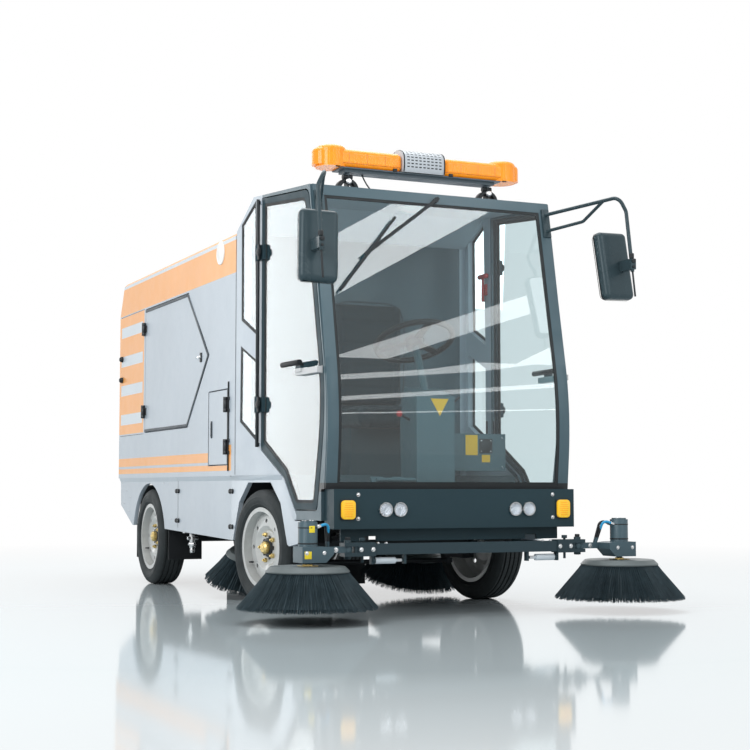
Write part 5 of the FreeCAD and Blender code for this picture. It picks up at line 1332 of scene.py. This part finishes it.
@dataclass
class LightBar:
    """The loudspeaker, the feet and the joints of the beacon bar on the roof."""

    station: float = -0.450
    half: float = 0.1122
    columns: int = 9
    pitch: float = 0.0215
    foot: float = 0.380
    arch: Pair = (0.056, 0.036)
    rise: float = 0.054
    lens_joints: Triple = (0.205, 0.300, 0.395)
    clips: Pair = (0.140, 0.440)
    front: tuple[Pair, ...] = (
        (0.0728, 0.002), (0.0765, 0.018), (0.0785, 0.034), (0.0788, 0.050), (0.0775, 0.066),
        (0.0742, 0.081), (0.0655, 0.094), (0.0510, 0.1045), (0.0300, 0.1125))

    @property
    def place(self) -> Pair:
        """Return the Y of the bar's middle and the height of its underside."""
        return DATUM.at(self.station), DATUM.beacon

    def speaker(self) -> None:
        """Build the loudspeaker's shell, its rows of slots and its dark end rings."""
        y, low = self.place
        outline = [(-out, up) for out, up in self.front] + [(0, 0.1172), *reversed(self.front)]
        Solid().plate(outline, 2 * self.half, outward(-self.half, y, low), 0.003).piece(
            "speaker_shell", SPEAKER, sharp=50)
        slots, rings = Solid(), Solid()
        for start, end in zip(self.front[1:], self.front[2:]):
            out, up = (start[0] + end[0]) / 2, low + (start[1] + end[1]) / 2
            for way in (-1, 1):
                face = basis((0, y + way * out, up), (1, 0, 0),
                             (0, way * (end[1] - start[1]), start[0] - end[0]))
                for column in range(self.columns):
                    x = (column - self.columns // 2) * self.pitch
                    slots.block((x - 0.0065, -0.0028, -0.002), (x + 0.0065, 0.0028, 0.0006),
                                0.0004, 1, face)
        grown = [(out * 1.022, up * 1.012) for out, up in outline]
        for x in (-self.half, self.half - 0.006):
            rings.plate(grown, 0.006, outward(x, y, low), 0.001, 0.006)
        slots.piece("speaker_slots", BLACK_PLASTIC)
        rings.piece("speaker_rings", SEAL_RUBBER)

    def feet(self) -> None:
        """Build the arched feet, their knobs and the lead."""
        y, low = self.place
        outer, inner = self.arch
        outline = [(x, z * self.rise / outer) for x, z in arc(outer, 0, TURN / 2, 12)]
        outline += reversed(arc(inner, 0, TURN / 2, 12))
        base = cab_roof_height(y + 0.02)
        feet = Solid().plate(outline, 0.046, ahead(self.foot, y + 0.023, base + 0.006), 0.004)
        feet.block((self.foot - 0.062, y - 0.030, base - 0.002),
                   (self.foot + 0.062, y + 0.030, base + 0.010), 0.004)
        feet.pair("beacon_feet", BLACK_PLASTIC)
        Solid().lathe([(0, 0.012), (0.010, 0.012), (0.015, 0.008), (0.015, 0), (0, 0)],
                      ahead(self.foot, y - 0.026, base + 0.045), 24).pair(
                          "beacon_knobs", BRIGHT_STEEL)
        lead = Solid().tube([(-0.300, y, low - 0.018), (-0.290, y - 0.004, low - 0.046),
                             (-0.262, y - 0.006, base + 0.020), (-0.235, y + 0.004, base + 0.006),
                             (-0.222, y + 0.030, base + 0.004)], 0.0035)
        lead.lathe([(0, 0.018), (0.006, 0.017), (0.011, 0.008), (0.014, 0), (0, 0)],
                   spot(-0.222, y + 0.032, base - 0.001), 20)
        lead.piece("beacon_lead", SEAL_RUBBER)

    def joints(self) -> None:
        """Build the lenses' joints and the clips that hold them."""
        y, low = self.place
        joints, clips = Solid(), Solid()
        upright_joints = [(x - 0.0012, x + 0.0012, 0.066, 0.0686, 0.020, 0.070)
                          for x in self.lens_joints]
        for left, right, inner, outer, foot, top in (
                *upright_joints, (0.120, 0.430, 0.064, 0.0688, 0.0165, 0.0185)):
            for near, far in ((-outer, -inner), (inner, outer)):
                joints.block((left, y + near, low + foot), (right, y + far, low + top), 0.0005, 1)
        joints.pair("beacon_joints", AMBER_EDGE)
        for x in self.clips:
            clips.block((x, y - 0.066, low - 0.004), (x + 0.022, y - 0.058, low + 0.012), 0.0015)
        clips.pair("beacon_clips", BLACK_PLASTIC)

    def build(self) -> None:
        """Build the bar's parts."""
        self.speaker()
        self.feet()
        self.joints()


@dataclass
class Mirrors:
    """The glass, the rims and the rods of the two mirrors."""

    half_wide: float = 0.088
    half_deep: float = 0.029
    half_high: float = 0.163
    station: float = -1.030
    arm: float = 0.788
    head: Triple = (0.757, 0.010, 1.627)
    lean: float = 11.7
    hinge: Triple = (-8, -3, 8)

    def outline(self, margin: float, corner: float) -> list[Pair]:
        """Return the head's outline, drawn in by a margin."""
        return rounded(self.half_wide - margin, self.half_high - margin, corner)

    def build(self) -> None:
        """Build the glass, the rims and the fittings of the arms."""
        y = DATUM.at(self.station)
        turn = Matrix.Rotation(math.radians(self.lean), 4, Vector(self.hinge).normalized())
        head = spot(0, y, 0) @ spot(*self.head) @ turn
        back = head @ backward(0, self.half_deep, 0)
        glass, rims, fittings = Solid(), Solid(), Solid()
        glass.plate(self.outline(0.012, 0.020), 0.0015, back @ spot(0, 0, -0.0002))
        glass.pair("mirror_glass", MIRROR_GLASS)
        rims.plate(self.outline(0.006, 0.024), 0.004, back @ spot(0, 0, -0.001), 0.0012, 0.007)
        rims.plate(self.outline(-0.0012, 0.026), 0.006, head @ ahead(0, 0.016, 0), 0.001, 0.006)
        rims.pair("mirror_rims", BLACK_PLASTIC)
        for start, end, radius, bevel in (
                ((-0.104, 1.600), (-0.125, 1.470), 0.0045, 0.001),
                ((-0.121, 1.640), (-0.094, 1.640), 0.0105, 0.002),
                ((-0.120, 1.612), (-0.094, 1.612), 0.0065, 0.001)):
            fittings.rod((self.arm, y + start[0], start[1]), (self.arm, y + end[0], end[1]),
                         radius, bevel)
        fittings.lathe([(0.0096, -0.012), (0.0115, -0.010), (0.0115, 0.010), (0.0096, 0.012)],
                       spot(self.arm, y - 0.0985, 1.665), 24)
        fittings.pair("mirror_fittings", BLACK_PLASTIC)


@dataclass
class SideTrim:
    """The hatch's edging, the handles, the knobs and the seams of the body's sides."""

    edging: float = 0.016
    point_height: float = 1.296
    point_station: float = 0.759
    corner_station: float = 1.138
    skirt: float = -0.010
    latch: Pair = (0.886, 1.293)
    pull: Pair = (0.690, 0.888)
    disc: Pair = (0.556, 1.824)
    bar: tuple[Pair, Pair] = ((0.408, 0.665), (0.408, 1.130))
    rear_knobs: tuple[Pair, ...] = ((2.560, 1.410), (2.560, 1.275))
    skirt_knobs: tuple[Triple, ...] = ((0.377, 0.560, 0.378), (1.331, 0.560, 0.392))
    knob_shift: float = 0.019
    body_seams: tuple[tuple[Pair, Pair, float], ...] = (
        ((2.045, 1.683), (2.600, 1.683), 0.003), ((2.045, 0.911), (2.600, 0.911), 0.003),
        ((0.306, 0.645), (0.306, 1.880), 0.005))
    skirt_seams: Pair = (0.377, 1.331)
    skirt_screws: tuple[Pair, ...] = (
        (1.50, 0.600), (1.62, 0.605), (2.36, 0.520), (2.46, 0.560),
        (2.56, 0.610), (2.40, 0.430), (2.52, 0.480), (1.46, 0.400))
    valve_spot: Pair = (-0.560, 1.395)

    def point(self, station: float, height: float, proud: float = 0.0) -> Triple:
        """Return a point on the left side."""
        return DATUM.side + proud, DATUM.at(station), height

    def strip(self, solid: Solid, start: Pair, end: Pair, size: Pair, bevel: float = 0.0,
              proud: float = 0.0) -> None:
        """Add a flat strip on the left side.

        Args:
            solid: the solid that it goes into.
            start: the station and height of one end.
            end: the station and height of the other.
            size: its width and its depth.
            bevel: how far its edges are rounded.
            proud: how far its middle stands out of the side.
        """
        solid.bar(self.point(*start, proud), self.point(*end, proud), *size, bevel)

    def hatch(self, side: int, body: str) -> None:
        """Build a hatch's rubber edging and its turning latch.

        Args:
            side: 1 for left and -1 for right.
            body: the hatch.
        """
        inner = self.edging / 2
        low, high = DATUM.hatch_low + inner, DATUM.hatch_high - inner
        rear = DATUM.hatch_rear - DATUM.axle
        corners = [(rear, high), (self.corner_station, high),
                   (self.point_station, self.point_height),
                   (self.corner_station, low), (rear, low)]
        edging = Solid()
        for start, end in zip(corners, corners[1:]):
            self.strip(edging, start, end, (self.edging, 0.009), 0.0025)
        for corner in corners[1:-1]:
            edging.rod(self.point(*corner, -0.004), self.point(*corner, 0.0045), inner, 0.002)
        edging.piece(body + "_edging", EDGING_RUBBER, body, side)
        place = outward(*self.point(*self.latch))
        Solid().block((-0.012, -0.026, -0.001), (0.012, 0.026, 0.007), 0.003, place=place).piece(
            body + "_latch_seat", BLACK_PLASTIC, body, side)
        handle = Solid().lathe([(0, 0.016), (0.008, 0.016), (0.010, 0.013), (0.010, 0.006),
                                (0, 0.006)], place, 24)
        handle.block((-0.006, -0.006, 0.011), (0.050, 0.006, 0.019), 0.003, place=place)
        handle.piece(body + "_latch", BRIGHT_STEEL, body, side)

    def flap(self, side: int, body: str) -> None:
        """Build a flap's edging and its slot handle.

        Args:
            side: 1 for left and -1 for right.
            body: the flap.
        """
        low, high = (DATUM.flap_front, DATUM.flap_low), (DATUM.flap_rear, DATUM.flap_high)
        edge = Solid().plate(rectangle(low, high), 0.002, outward(DATUM.side, 0, 0), 0.0006, 0.0045)
        handle = outward(*self.point(*self.pull))
        edge.plate(rounded(0.0085, 0.046, 0.008), 0.005, handle, 0.0015)
        edge.piece(body + "_edging", EDGING_RUBBER, body, side)
        Solid().block((-0.0035, -0.036, 0.003), (0.0035, 0.036, 0.0075), 0.002,
                      place=handle).piece(body + "_pull", BLACK_PLASTIC, body, side)

    def fixed(self) -> None:
        """Build the trim that is fixed to the body: bars, knobs, seams and the blank disc."""
        dark, seams, badge, screws = Solid(), Solid(), Solid(), Solid()
        self.strip(dark, *self.bar, (0.009, 0.008), 0.002, 0.003)
        for knob in self.rear_knobs:
            dark.lathe([(0, 0.022), (0.010, 0.022), (0.014, 0.018), (0.0175, 0.012),
                        (0.0185, 0.004), (0.0185, 0), (0, 0)], outward(*self.point(*knob)), 32)
        for start, end, width in self.body_seams:
            self.strip(seams, start, end, (width, 0.0012))
        for station in self.skirt_seams:
            self.strip(seams, (station, 0.352), (station, 0.636), (0.004, 0.0012),
                       proud=self.skirt)
        badge.lathe([(0, 0.006), (0.044, 0.006), (0.047, 0.0045), (0.055, 0.0045), (0.060, 0.006),
                     (0.063, 0.003), (0.063, -0.001), (0, -0.001)],
                    outward(*self.point(*self.disc)), 64)
        for station, *heights in self.skirt_knobs:
            for shift in (-self.knob_shift, self.knob_shift):
                for height in heights:
                    place = outward(*self.point(station + shift, height, self.skirt))
                    dark.lathe([(0, 0.012), (0.010, 0.011), (0.013, 0.006), (0.013, 0), (0, 0)],
                               place, 20)
                    dark.block((min(0, -shift), -0.006, 0), (max(0, -shift), 0.006, 0.007),
                               0.002, place=place)
        for station, height in self.skirt_screws:
            screws.lathe([(0, 0.0035), (0.003, 0.003), (0.005, 0.001), (0.005, 0), (0, 0)],
                         outward(*self.point(station, height, self.skirt)), 12)
        dark.pair("side_knobs", BLACK_PLASTIC)
        seams.pair("side_seams", EDGING_RUBBER)
        badge.pair("side_discs", WHITE_LABEL)
        screws.pair("skirt_screws", BRIGHT_STEEL)

    def valve(self) -> None:
        """Build the small drain valve under the right skirt."""
        x, y = self.valve_spot[0], DATUM.at(self.valve_spot[1])
        pipe = Solid().rod((x - 0.030, y, 0.288), (x + 0.036, y, 0.288), 0.011, 0.002)
        for high, low, radius, sides in ((0.330, 0.232, 0.016, 20), (0.262, 0.246, 0.024, 6),
                                         (0.232, 0.205, 0.013, 20)):
            pipe.rod((x, y, high), (x, y, low), radius, 0.002, sides=sides)
        pipe.block((x - 0.055, y - 0.020, 0.318), (x + 0.045, y + 0.020, 0.326), 0.002)
        pipe.piece("drain_valve", BRIGHT_STEEL)

    def build(self) -> None:
        """Build the trim of both sides."""
        for side, name in SIDES:
            self.hatch(side, "side_hatch_" + name)
            self.flap(side, "service_flap_" + name)
        self.fixed()
        self.valve()


@dataclass
class BrushArms:
    """The bolts, unions and labels of the front brushes' arms and beam."""

    hub: float = -0.992
    line: float = -0.950
    out: float = 0.789
    pivot: float = 0.585
    cup: float = 0.0422
    bands: tuple[Triple, ...] = ((0.336, 0.342, 0.0432), (0.404, 0.409, 0.0430))
    front_bolts: Pair = (0.475, 0.532)
    top_bolts: Pair = (0.40, 0.44)

    def bolt(self, solid: Solid, place: Matrix, size: float) -> None:
        """Add a hexagon head on a washer.

        Args:
            solid: the solid that it goes into.
            place: where it sits, its Z along the bolt.
            size: the head's radius.
        """
        solid.lathe([(0, size * 0.75), (size * 0.85, size * 0.75), (size, size * 0.6),
                     (size, size * 0.12), (0, size * 0.12)], place, 6)
        solid.lathe([(0, size * 0.14), (size * 1.25, size * 0.14), (size * 1.25, 0), (0, 0)],
                    place, 24)

    def arm(self, side: int, body: str) -> None:
        """Build one arm's fittings.

        Args:
            side: 1 for left and -1 for right.
            body: the arm.
        """
        hub = DATUM.at(self.hub)
        steel, unions, dark = Solid(), Solid(), Solid()
        for x in (self.out - 0.050, self.out + 0.030):
            self.bolt(steel, ahead(x, hub - 0.066, 0.300), 0.007)
        self.bolt(steel, ahead(self.pivot + 0.062, DATUM.at(self.line) - 0.014, 0.308), 0.009)
        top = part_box(body)[1].z - 0.001
        for step in range(4):
            steel.lathe([(0, 0.0025), (0.004, 0.0025), (0.0045, 0.001), (0.0045, 0), (0, 0)],
                        spot(self.out, hub, top) @ turned(TURN * (step + 0.5) / 4)
                        @ spot(0.024, 0, 0), 16)
        for low, high, radius in self.bands:
            dark.lathe([(self.cup, low), (radius, low + 0.001), (radius, high - 0.001),
                        (self.cup, high)], spot(self.out, hub, 0))
        for shift in (-0.014, 0.014):
            port = Vector((self.out - 0.036, hub + shift, 0.408))
            unions.rod(port, port + Vector((-0.018, 0.0015, 0.0055)), 0.0082, 0.001, sides=6)
        steel.piece(body + "_bolts", BRIGHT_STEEL, body, side, sharp=25)
        dark.piece(body + "_bands", SEAL_RUBBER, body, side)
        unions.piece(body + "_unions", BRIGHT_STEEL, body, side, sharp=25)

    def labels(self) -> None:
        """Build the blank yellow labels of the right arm and the right middle motor."""
        hub = DATUM.at(self.hub)
        labels = Solid()
        labels.block((-0.010, -0.014, -0.002), (0.016, 0.015, 0.0022), 0.0008,
                     place=ahead(-self.out, hub - 0.0405, 0.400))
        labels.block((-0.040, -0.016, -0.001), (-0.008, 0.016, 0.0008), 0.0003,
                     place=ahead(-self.out, hub - 0.066, 0.291))
        labels.piece("brush_arm_labels", YELLOW_LABEL, "brush_arm_right")
        motor = joint_place("mid_spin_right") @ turned(0.9) @ spot(0.007, 0.020, 0)
        Solid().block((-0.050, -0.036, 0.205), (-0.0405, -0.004, 0.260), 0.0008,
                      place=motor).piece("mid_arm_label", YELLOW_LABEL, "mid_arm_right")

    def beam(self) -> None:
        """Build the beam's bolts and the pivots' heads."""
        line = DATUM.at(self.line)
        steel, dark = Solid(), Solid()
        for x in self.front_bolts:
            self.bolt(steel, ahead(x, line - 0.030, 0.308), 0.008)
        for x in self.top_bolts:
            self.bolt(steel, spot(x, line, 0.332), 0.008)
        dark.lathe([(0, 0.362), (0.011, 0.362), (0.013, 0.359), (0.013, 0.350), (0, 0.350)],
                   spot(self.pivot, line, 0.0), 6)
        steel.pair("beam_bolts", BRIGHT_STEEL, "brush_beam", 25)
        dark.pair("beam_pivots", BLACK_PLASTIC, "brush_beam", 25)

    def build(self) -> None:
        """Build the fittings of the beam and of both arms."""
        for side, name in SIDES:
            self.arm(side, "brush_arm_" + name)
        self.beam()
        self.labels()


@dataclass
class Rear:
    """The lamps, reflectors, handle and blank plate of the rear, and the tailgate's edging."""

    gate_half: float = 0.590
    gate_low: float = 0.705
    gate_high: float = 1.650
    lamp_inner: float = 0.090
    lamp_split: float = 0.030
    handle_height: float = 0.800
    plate_height: float = 1.000
    plate_screws: Pair = (0.170, 0.045)
    latch: float = 0.50
    reflector: float = 0.42

    def lamps(self) -> None:
        """Build the tail lamps."""
        low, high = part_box("tail_lamps")
        inner, split = high.x - self.lamp_inner, high.x - self.lamp_split
        seats, red, amber = Solid(), Solid(), Solid()
        seats.block((inner, low.y, low.z), (high.x, low.y + 0.012, high.z), 0.003)
        for lens, start, end in ((red, inner + 0.003, split),
                                 (amber, split + 0.001, high.x - 0.003)):
            lens.block((start, low.y + 0.010, low.z + 0.003), (end, high.y - 0.001, high.z - 0.003),
                       0.007, 3)
        made = red.pair("tail_lamp_lenses", RED_LENS, slot="red_lens")
        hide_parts("tail_lamps")
        amber.pair("tail_signal_lenses", SIGNAL_AMBER)
        seats.pair("tail_lamp_seats", BLACK_PLASTIC)

    def gate(self) -> None:
        """Build the tailgate's edging, handle, reflectors and blank plate."""
        face = backward(0, DATUM.rear, 0)
        edging, seat, steel, plate, reflectors = Solid(), Solid(), Solid(), Solid(), Solid()
        edging.plate(rectangle((-self.gate_half, self.gate_low), (self.gate_half, self.gate_high)),
                     0.004, face, 0.001, 0.014)
        seat.plate(rounded(0.085, 0.026, 0.012), 0.006, face @ spot(0, self.handle_height, 0),
                   0.0015)
        plate.plate(rounded(0.190, 0.060, 0.010), 0.003, face @ spot(0, self.plate_height, 0),
                    0.0008)
        steel.block((-0.060, 0.788, 0.006), (0.060, 0.812, 0.015), 0.004, place=face)
        for way in (-1, 1):
            latch, lens = way * self.latch, way * self.reflector
            steel.block((latch - 0.014, 0.770, 0.0), (latch + 0.014, 0.840, 0.012), 0.004,
                        place=face)
            reflectors.block((lens - 0.045, 0.755, 0.0), (lens + 0.045, 0.785, 0.006), 0.002,
                             place=face)
            x, rise = self.plate_screws
            for z in (self.plate_height - rise, self.plate_height + rise):
                steel.lathe([(0, 0.006), (0.003, 0.0055), (0.005, 0.0035), (0, 0.0030)],
                            face @ spot(way * x, z, 0), 12)
        edging.piece("tailgate_edging", EDGING_RUBBER, "tailgate")
        seat.piece("tailgate_handle_seat", BLACK_PLASTIC, "tailgate")
        steel.piece("tailgate_handle", BRIGHT_STEEL, "tailgate")
        plate.piece("blank_plate", WHITE_LABEL, "tailgate")
        reflectors.piece("rear_reflectors", RED_LENS, "tailgate")

    def build(self) -> None:
        """Build the rear's fittings."""
        self.lamps()
        self.gate()


# --- stage ----------------------------------------------------------------------------

@dataclass
class Studio:
    """The floor, the lamps, the world and the camera."""

    lens: float = 73.04
    sensor: float = 36.0
    eye: Triple = (-3.213, -7.107, 0.574)
    rise: float = 4.27
    heading: float = -24.14
    floor_half: float = 40.0
    floor_colour: Triple = (0.56, 0.64, 0.67)
    fade: Pair = (3.6, 8.0)
    daylight: Pair = (0.55, 1.0)
    strip_power: float = 75.0
    strips: tuple[Triple, ...] = ((1.60, 8.0, 0.05), (2.35, 18.0, 0.17), (3.30, 17.0, 0.22),
                                  (4.15, 9.0, 0.17))

    def camera(self) -> None:
        """Set up the camera."""
        data = bpy.data.cameras.new("camera")
        data.lens, data.sensor_width, data.clip_end = self.lens, self.sensor, 200.0
        made = placed("camera", data)
        made.location = (self.eye[0], DATUM.axle + self.eye[1], self.eye[2])
        made.rotation_euler = (math.radians(90 + self.rise), 0, math.radians(self.heading))
        bpy.context.scene.camera = made

    def world(self) -> None:
        """Make the world white to the eye and softer as a light."""
        world = bpy.context.scene.world = bpy.data.worlds.new("studio")
        graph = Graph(world)
        path = graph.add("LightPath").outputs
        seen = graph.calc("MAXIMUM", path["Is Camera Ray"], path["Is Transmission Ray"])
        seen = graph.calc("MAXIMUM", seen, path["Is Glossy Ray"])
        level = graph.span(seen, *self.daylight, 0.0, 1.0)
        graph.end(graph.shader("Background", {"Color": (1, 1, 1, 1), "Strength": level}), "World")

    def floor(self) -> None:
        """Lay the glossy grey floor, which fades to white far from the truck."""
        material = bpy.data.materials.new("studio_floor")
        graph = Graph(material)
        squares = [graph.calc("MULTIPLY", axis, axis) for axis in graph.axes[:2]]
        reach = graph.calc("POWER", graph.calc("ADD", *squares), 0.5)
        graph.end(graph.shader("MixShader", {
            0: graph.span(reach, 0.0, 1.0, *self.fade),
            1: graph.shader("BsdfPrincipled", {
                "Base Color": (*self.floor_colour, 1), "Roughness": 0.07,
                "Specular IOR Level": 0.5}),
            2: graph.shader("Emission", {"Color": (1, 1, 1, 1), "Strength": 1.0})}))
        part = bmesh.new()
        bmesh.ops.create_grid(part, x_segments=1, y_segments=1, size=self.floor_half)
        mesh = bpy.data.meshes.new("floor")
        part.to_mesh(mesh)
        part.free()
        mesh.materials.append(material)
        placed("floor", mesh)

    def lamp(self, name: str, place: Triple, target: Triple, size: Pair, power: float,
             lean: float = 0.0) -> None:
        """Hang a soft lamp.

        Args:
            name: its name.
            place: where it hangs.
            target: the point that it shines at.
            size: its width and height.
            power: its power in watts.
            lean: how far it leans to one side, in degrees.
        """
        data = bpy.data.lights.new(name, "AREA")
        data.shape, data.energy = "RECTANGLE", power
        data.size, data.size_y = size
        made = placed(name, data)
        made.location = place
        aim = (Vector(target) - Vector(place)).to_track_quat("-Z", "Y").to_matrix()
        made.rotation_euler = (aim @ Matrix.Rotation(math.radians(lean), 3, "Z")).to_euler()
        made.visible_camera = False

    def build(self) -> None:
        """Set everything up."""
        bpy.context.scene.view_settings.view_transform = "Standard"
        self.camera()
        self.world()
        self.floor()
        self.lamp("overhead", (0.0, 0.0, 6.0), (0.0, 0.0, 0.8), (5.0, 5.0), 240.0)
        self.lamp("left_of_eye", (-5.5, -4.0, 3.6), (0.0, 0.0, 1.0), (3.5, 3.5), 190.0)
        self.lamp("wall", (-3.42, 4.85, 2.0), (-0.7, -0.9, 1.3), (1.05, 3.8), 37.0)
        self.lamp("behind", (2.5, 6.0, 4.0), (0.0, 0.5, 1.0), (3.5, 3.5), 90.0)
        self.lamp("panel", (2.4, -7.0, 5.20), (0.0, -1.5, 1.6), (6.0, 0.50), 68.0, 20.0)
        for height, lean, wide in self.strips:
            self.lamp("strip", (2.4, -7.0, height), (0.0, -1.5, 1.2), (5.0, wide),
                      self.strip_power * wide, lean)


# --- the whole truck ------------------------------------------------------------------

CAD_FINISHES: dict[Finish, tuple[str, ...]] = {
    CHASSIS_PAINT: ("battery_pack", "body_floor", "body_mounts", "brush_brackets", "chassis_frame",
                    "front_axle_beam", "knuckle_", "rear_axle", "suction_nozzle", "tie_rod"),
    BODY_PAINT: ("body_side_walls",),
    ROOF_PAINT: ("body_roof",),
    PANEL_PAINT: ("body_skirts", "front_fenders", "service_flap_", "side_hatch_"),
    REAR_PAINT: ("rear_frame", "tailgate"),
    CAB_PAINT: ("cab_frame",),
    CAB_ROOF_PAINT: ("cab_roof",),
    FLOOR_MAT: ("cab_floor",),
    DOOR_PAINT: ("cab_door_",),
    SLATE_PAINT: ("mid_brush_arm_", "rear_bumper"),
    BEAM_PAINT: ("brush_beam",),
    ARM_PAINT: ("brush_arm_",),
    BUMPER_PAINT: ("front_bumper",),
    SPRING_STEEL: ("leaf_springs",),
    RIM_PAINT: ("rim_",),
    RUBBER: ("tyre_",),
    BRISTLE: ("front_brush_", "mid_brush_"),
    WINDOW: ("door_glass_", "quarter_windows", "windshield"),
    MIRROR_SHELL: ("mirrors",),
    CASING: ("control_column",),
    SEAT_CLOTH: ("seat_",),
    BLACK_PLASTIC: ("steering_wheel", "wheel_liners", "wiper"),
    BEACON_BASE: ("beacon_base",),
    AMBER: ("beacon_lenses",),
    LAMP_GLASS: ("headlamps",),
    SIGNAL_AMBER: ("turn_signals",),
    RED_LENS: ("tail_lamps",),
}
EASED = ("cab_", "front_bumper", "body_side", "body_roof", "body_skirts", "rear_frame", "tailgate",
         "side_hatch", "service_flap", "front_fenders", "brush_beam", "brush_arm", "mirrors",
         "rear_bumper", "control_column")
EASE_WIDTH = 0.0016
EASE_ANGLE = 40
WELD_DISTANCE = 0.00002


def ease_edges(node: bpy.types.Object) -> None:
    """Round a CAD node's sharp edges a little, so that they catch the light.

    Args:
        node: the CAD node.
    """
    node.modifiers.new("weld", "WELD").merge_threshold = WELD_DISTANCE
    bevel = node.modifiers.new("ease", "BEVEL")
    bevel.width, bevel.segments = EASE_WIDTH, 2
    bevel.limit_method, bevel.angle_limit = "ANGLE", math.radians(EASE_ANGLE)
    bevel.harden_normals = True


def dress_frame() -> None:
    """Give every CAD node its finish."""
    for name, node in frame["nodes"].items():
        if name.startswith(EASED):
            ease_edges(node)
        finish = next(item for item, starts in CAD_FINISHES.items() if name.startswith(starts))
        node.data.materials.clear()
        node.data.materials.append(finish.material())
        LOG.info("%s dressed in %s", name, finish.name)


def main() -> None:
    """Build the sub-assemblies in order and report their pieces."""
    logging.basicConfig(level=logging.INFO, format="%(message)s")
    dress_frame()
    parts = [
        *(Wheel(f"wheel_{end}_{name}", side) for end in ("front", "rear") for side, name in SIDES),
        *(DiscBrush("brush_spin_" + name, "front_brush_" + name, 0.306, 0.184)
          for _, name in SIDES),
        *(DiscBrush("mid_spin_" + name, "mid_brush_" + name, 0.285, 0.170, 100)
          for _, name in SIDES),
        CabGlazing(), CabFittings(), CabTrim(), Bumper(), LightBar(), Mirrors(), SideTrim(),
        BrushArms(), Rear(), SeatPad("seat_cushion", 2), SeatPad("seat_back", 1), Studio()]
    for part in parts:
        part.build()
        LOG.info("%s done", type(part).__name__)
    bpy.context.view_layer.update()


if __name__ == "__main__":
    main()
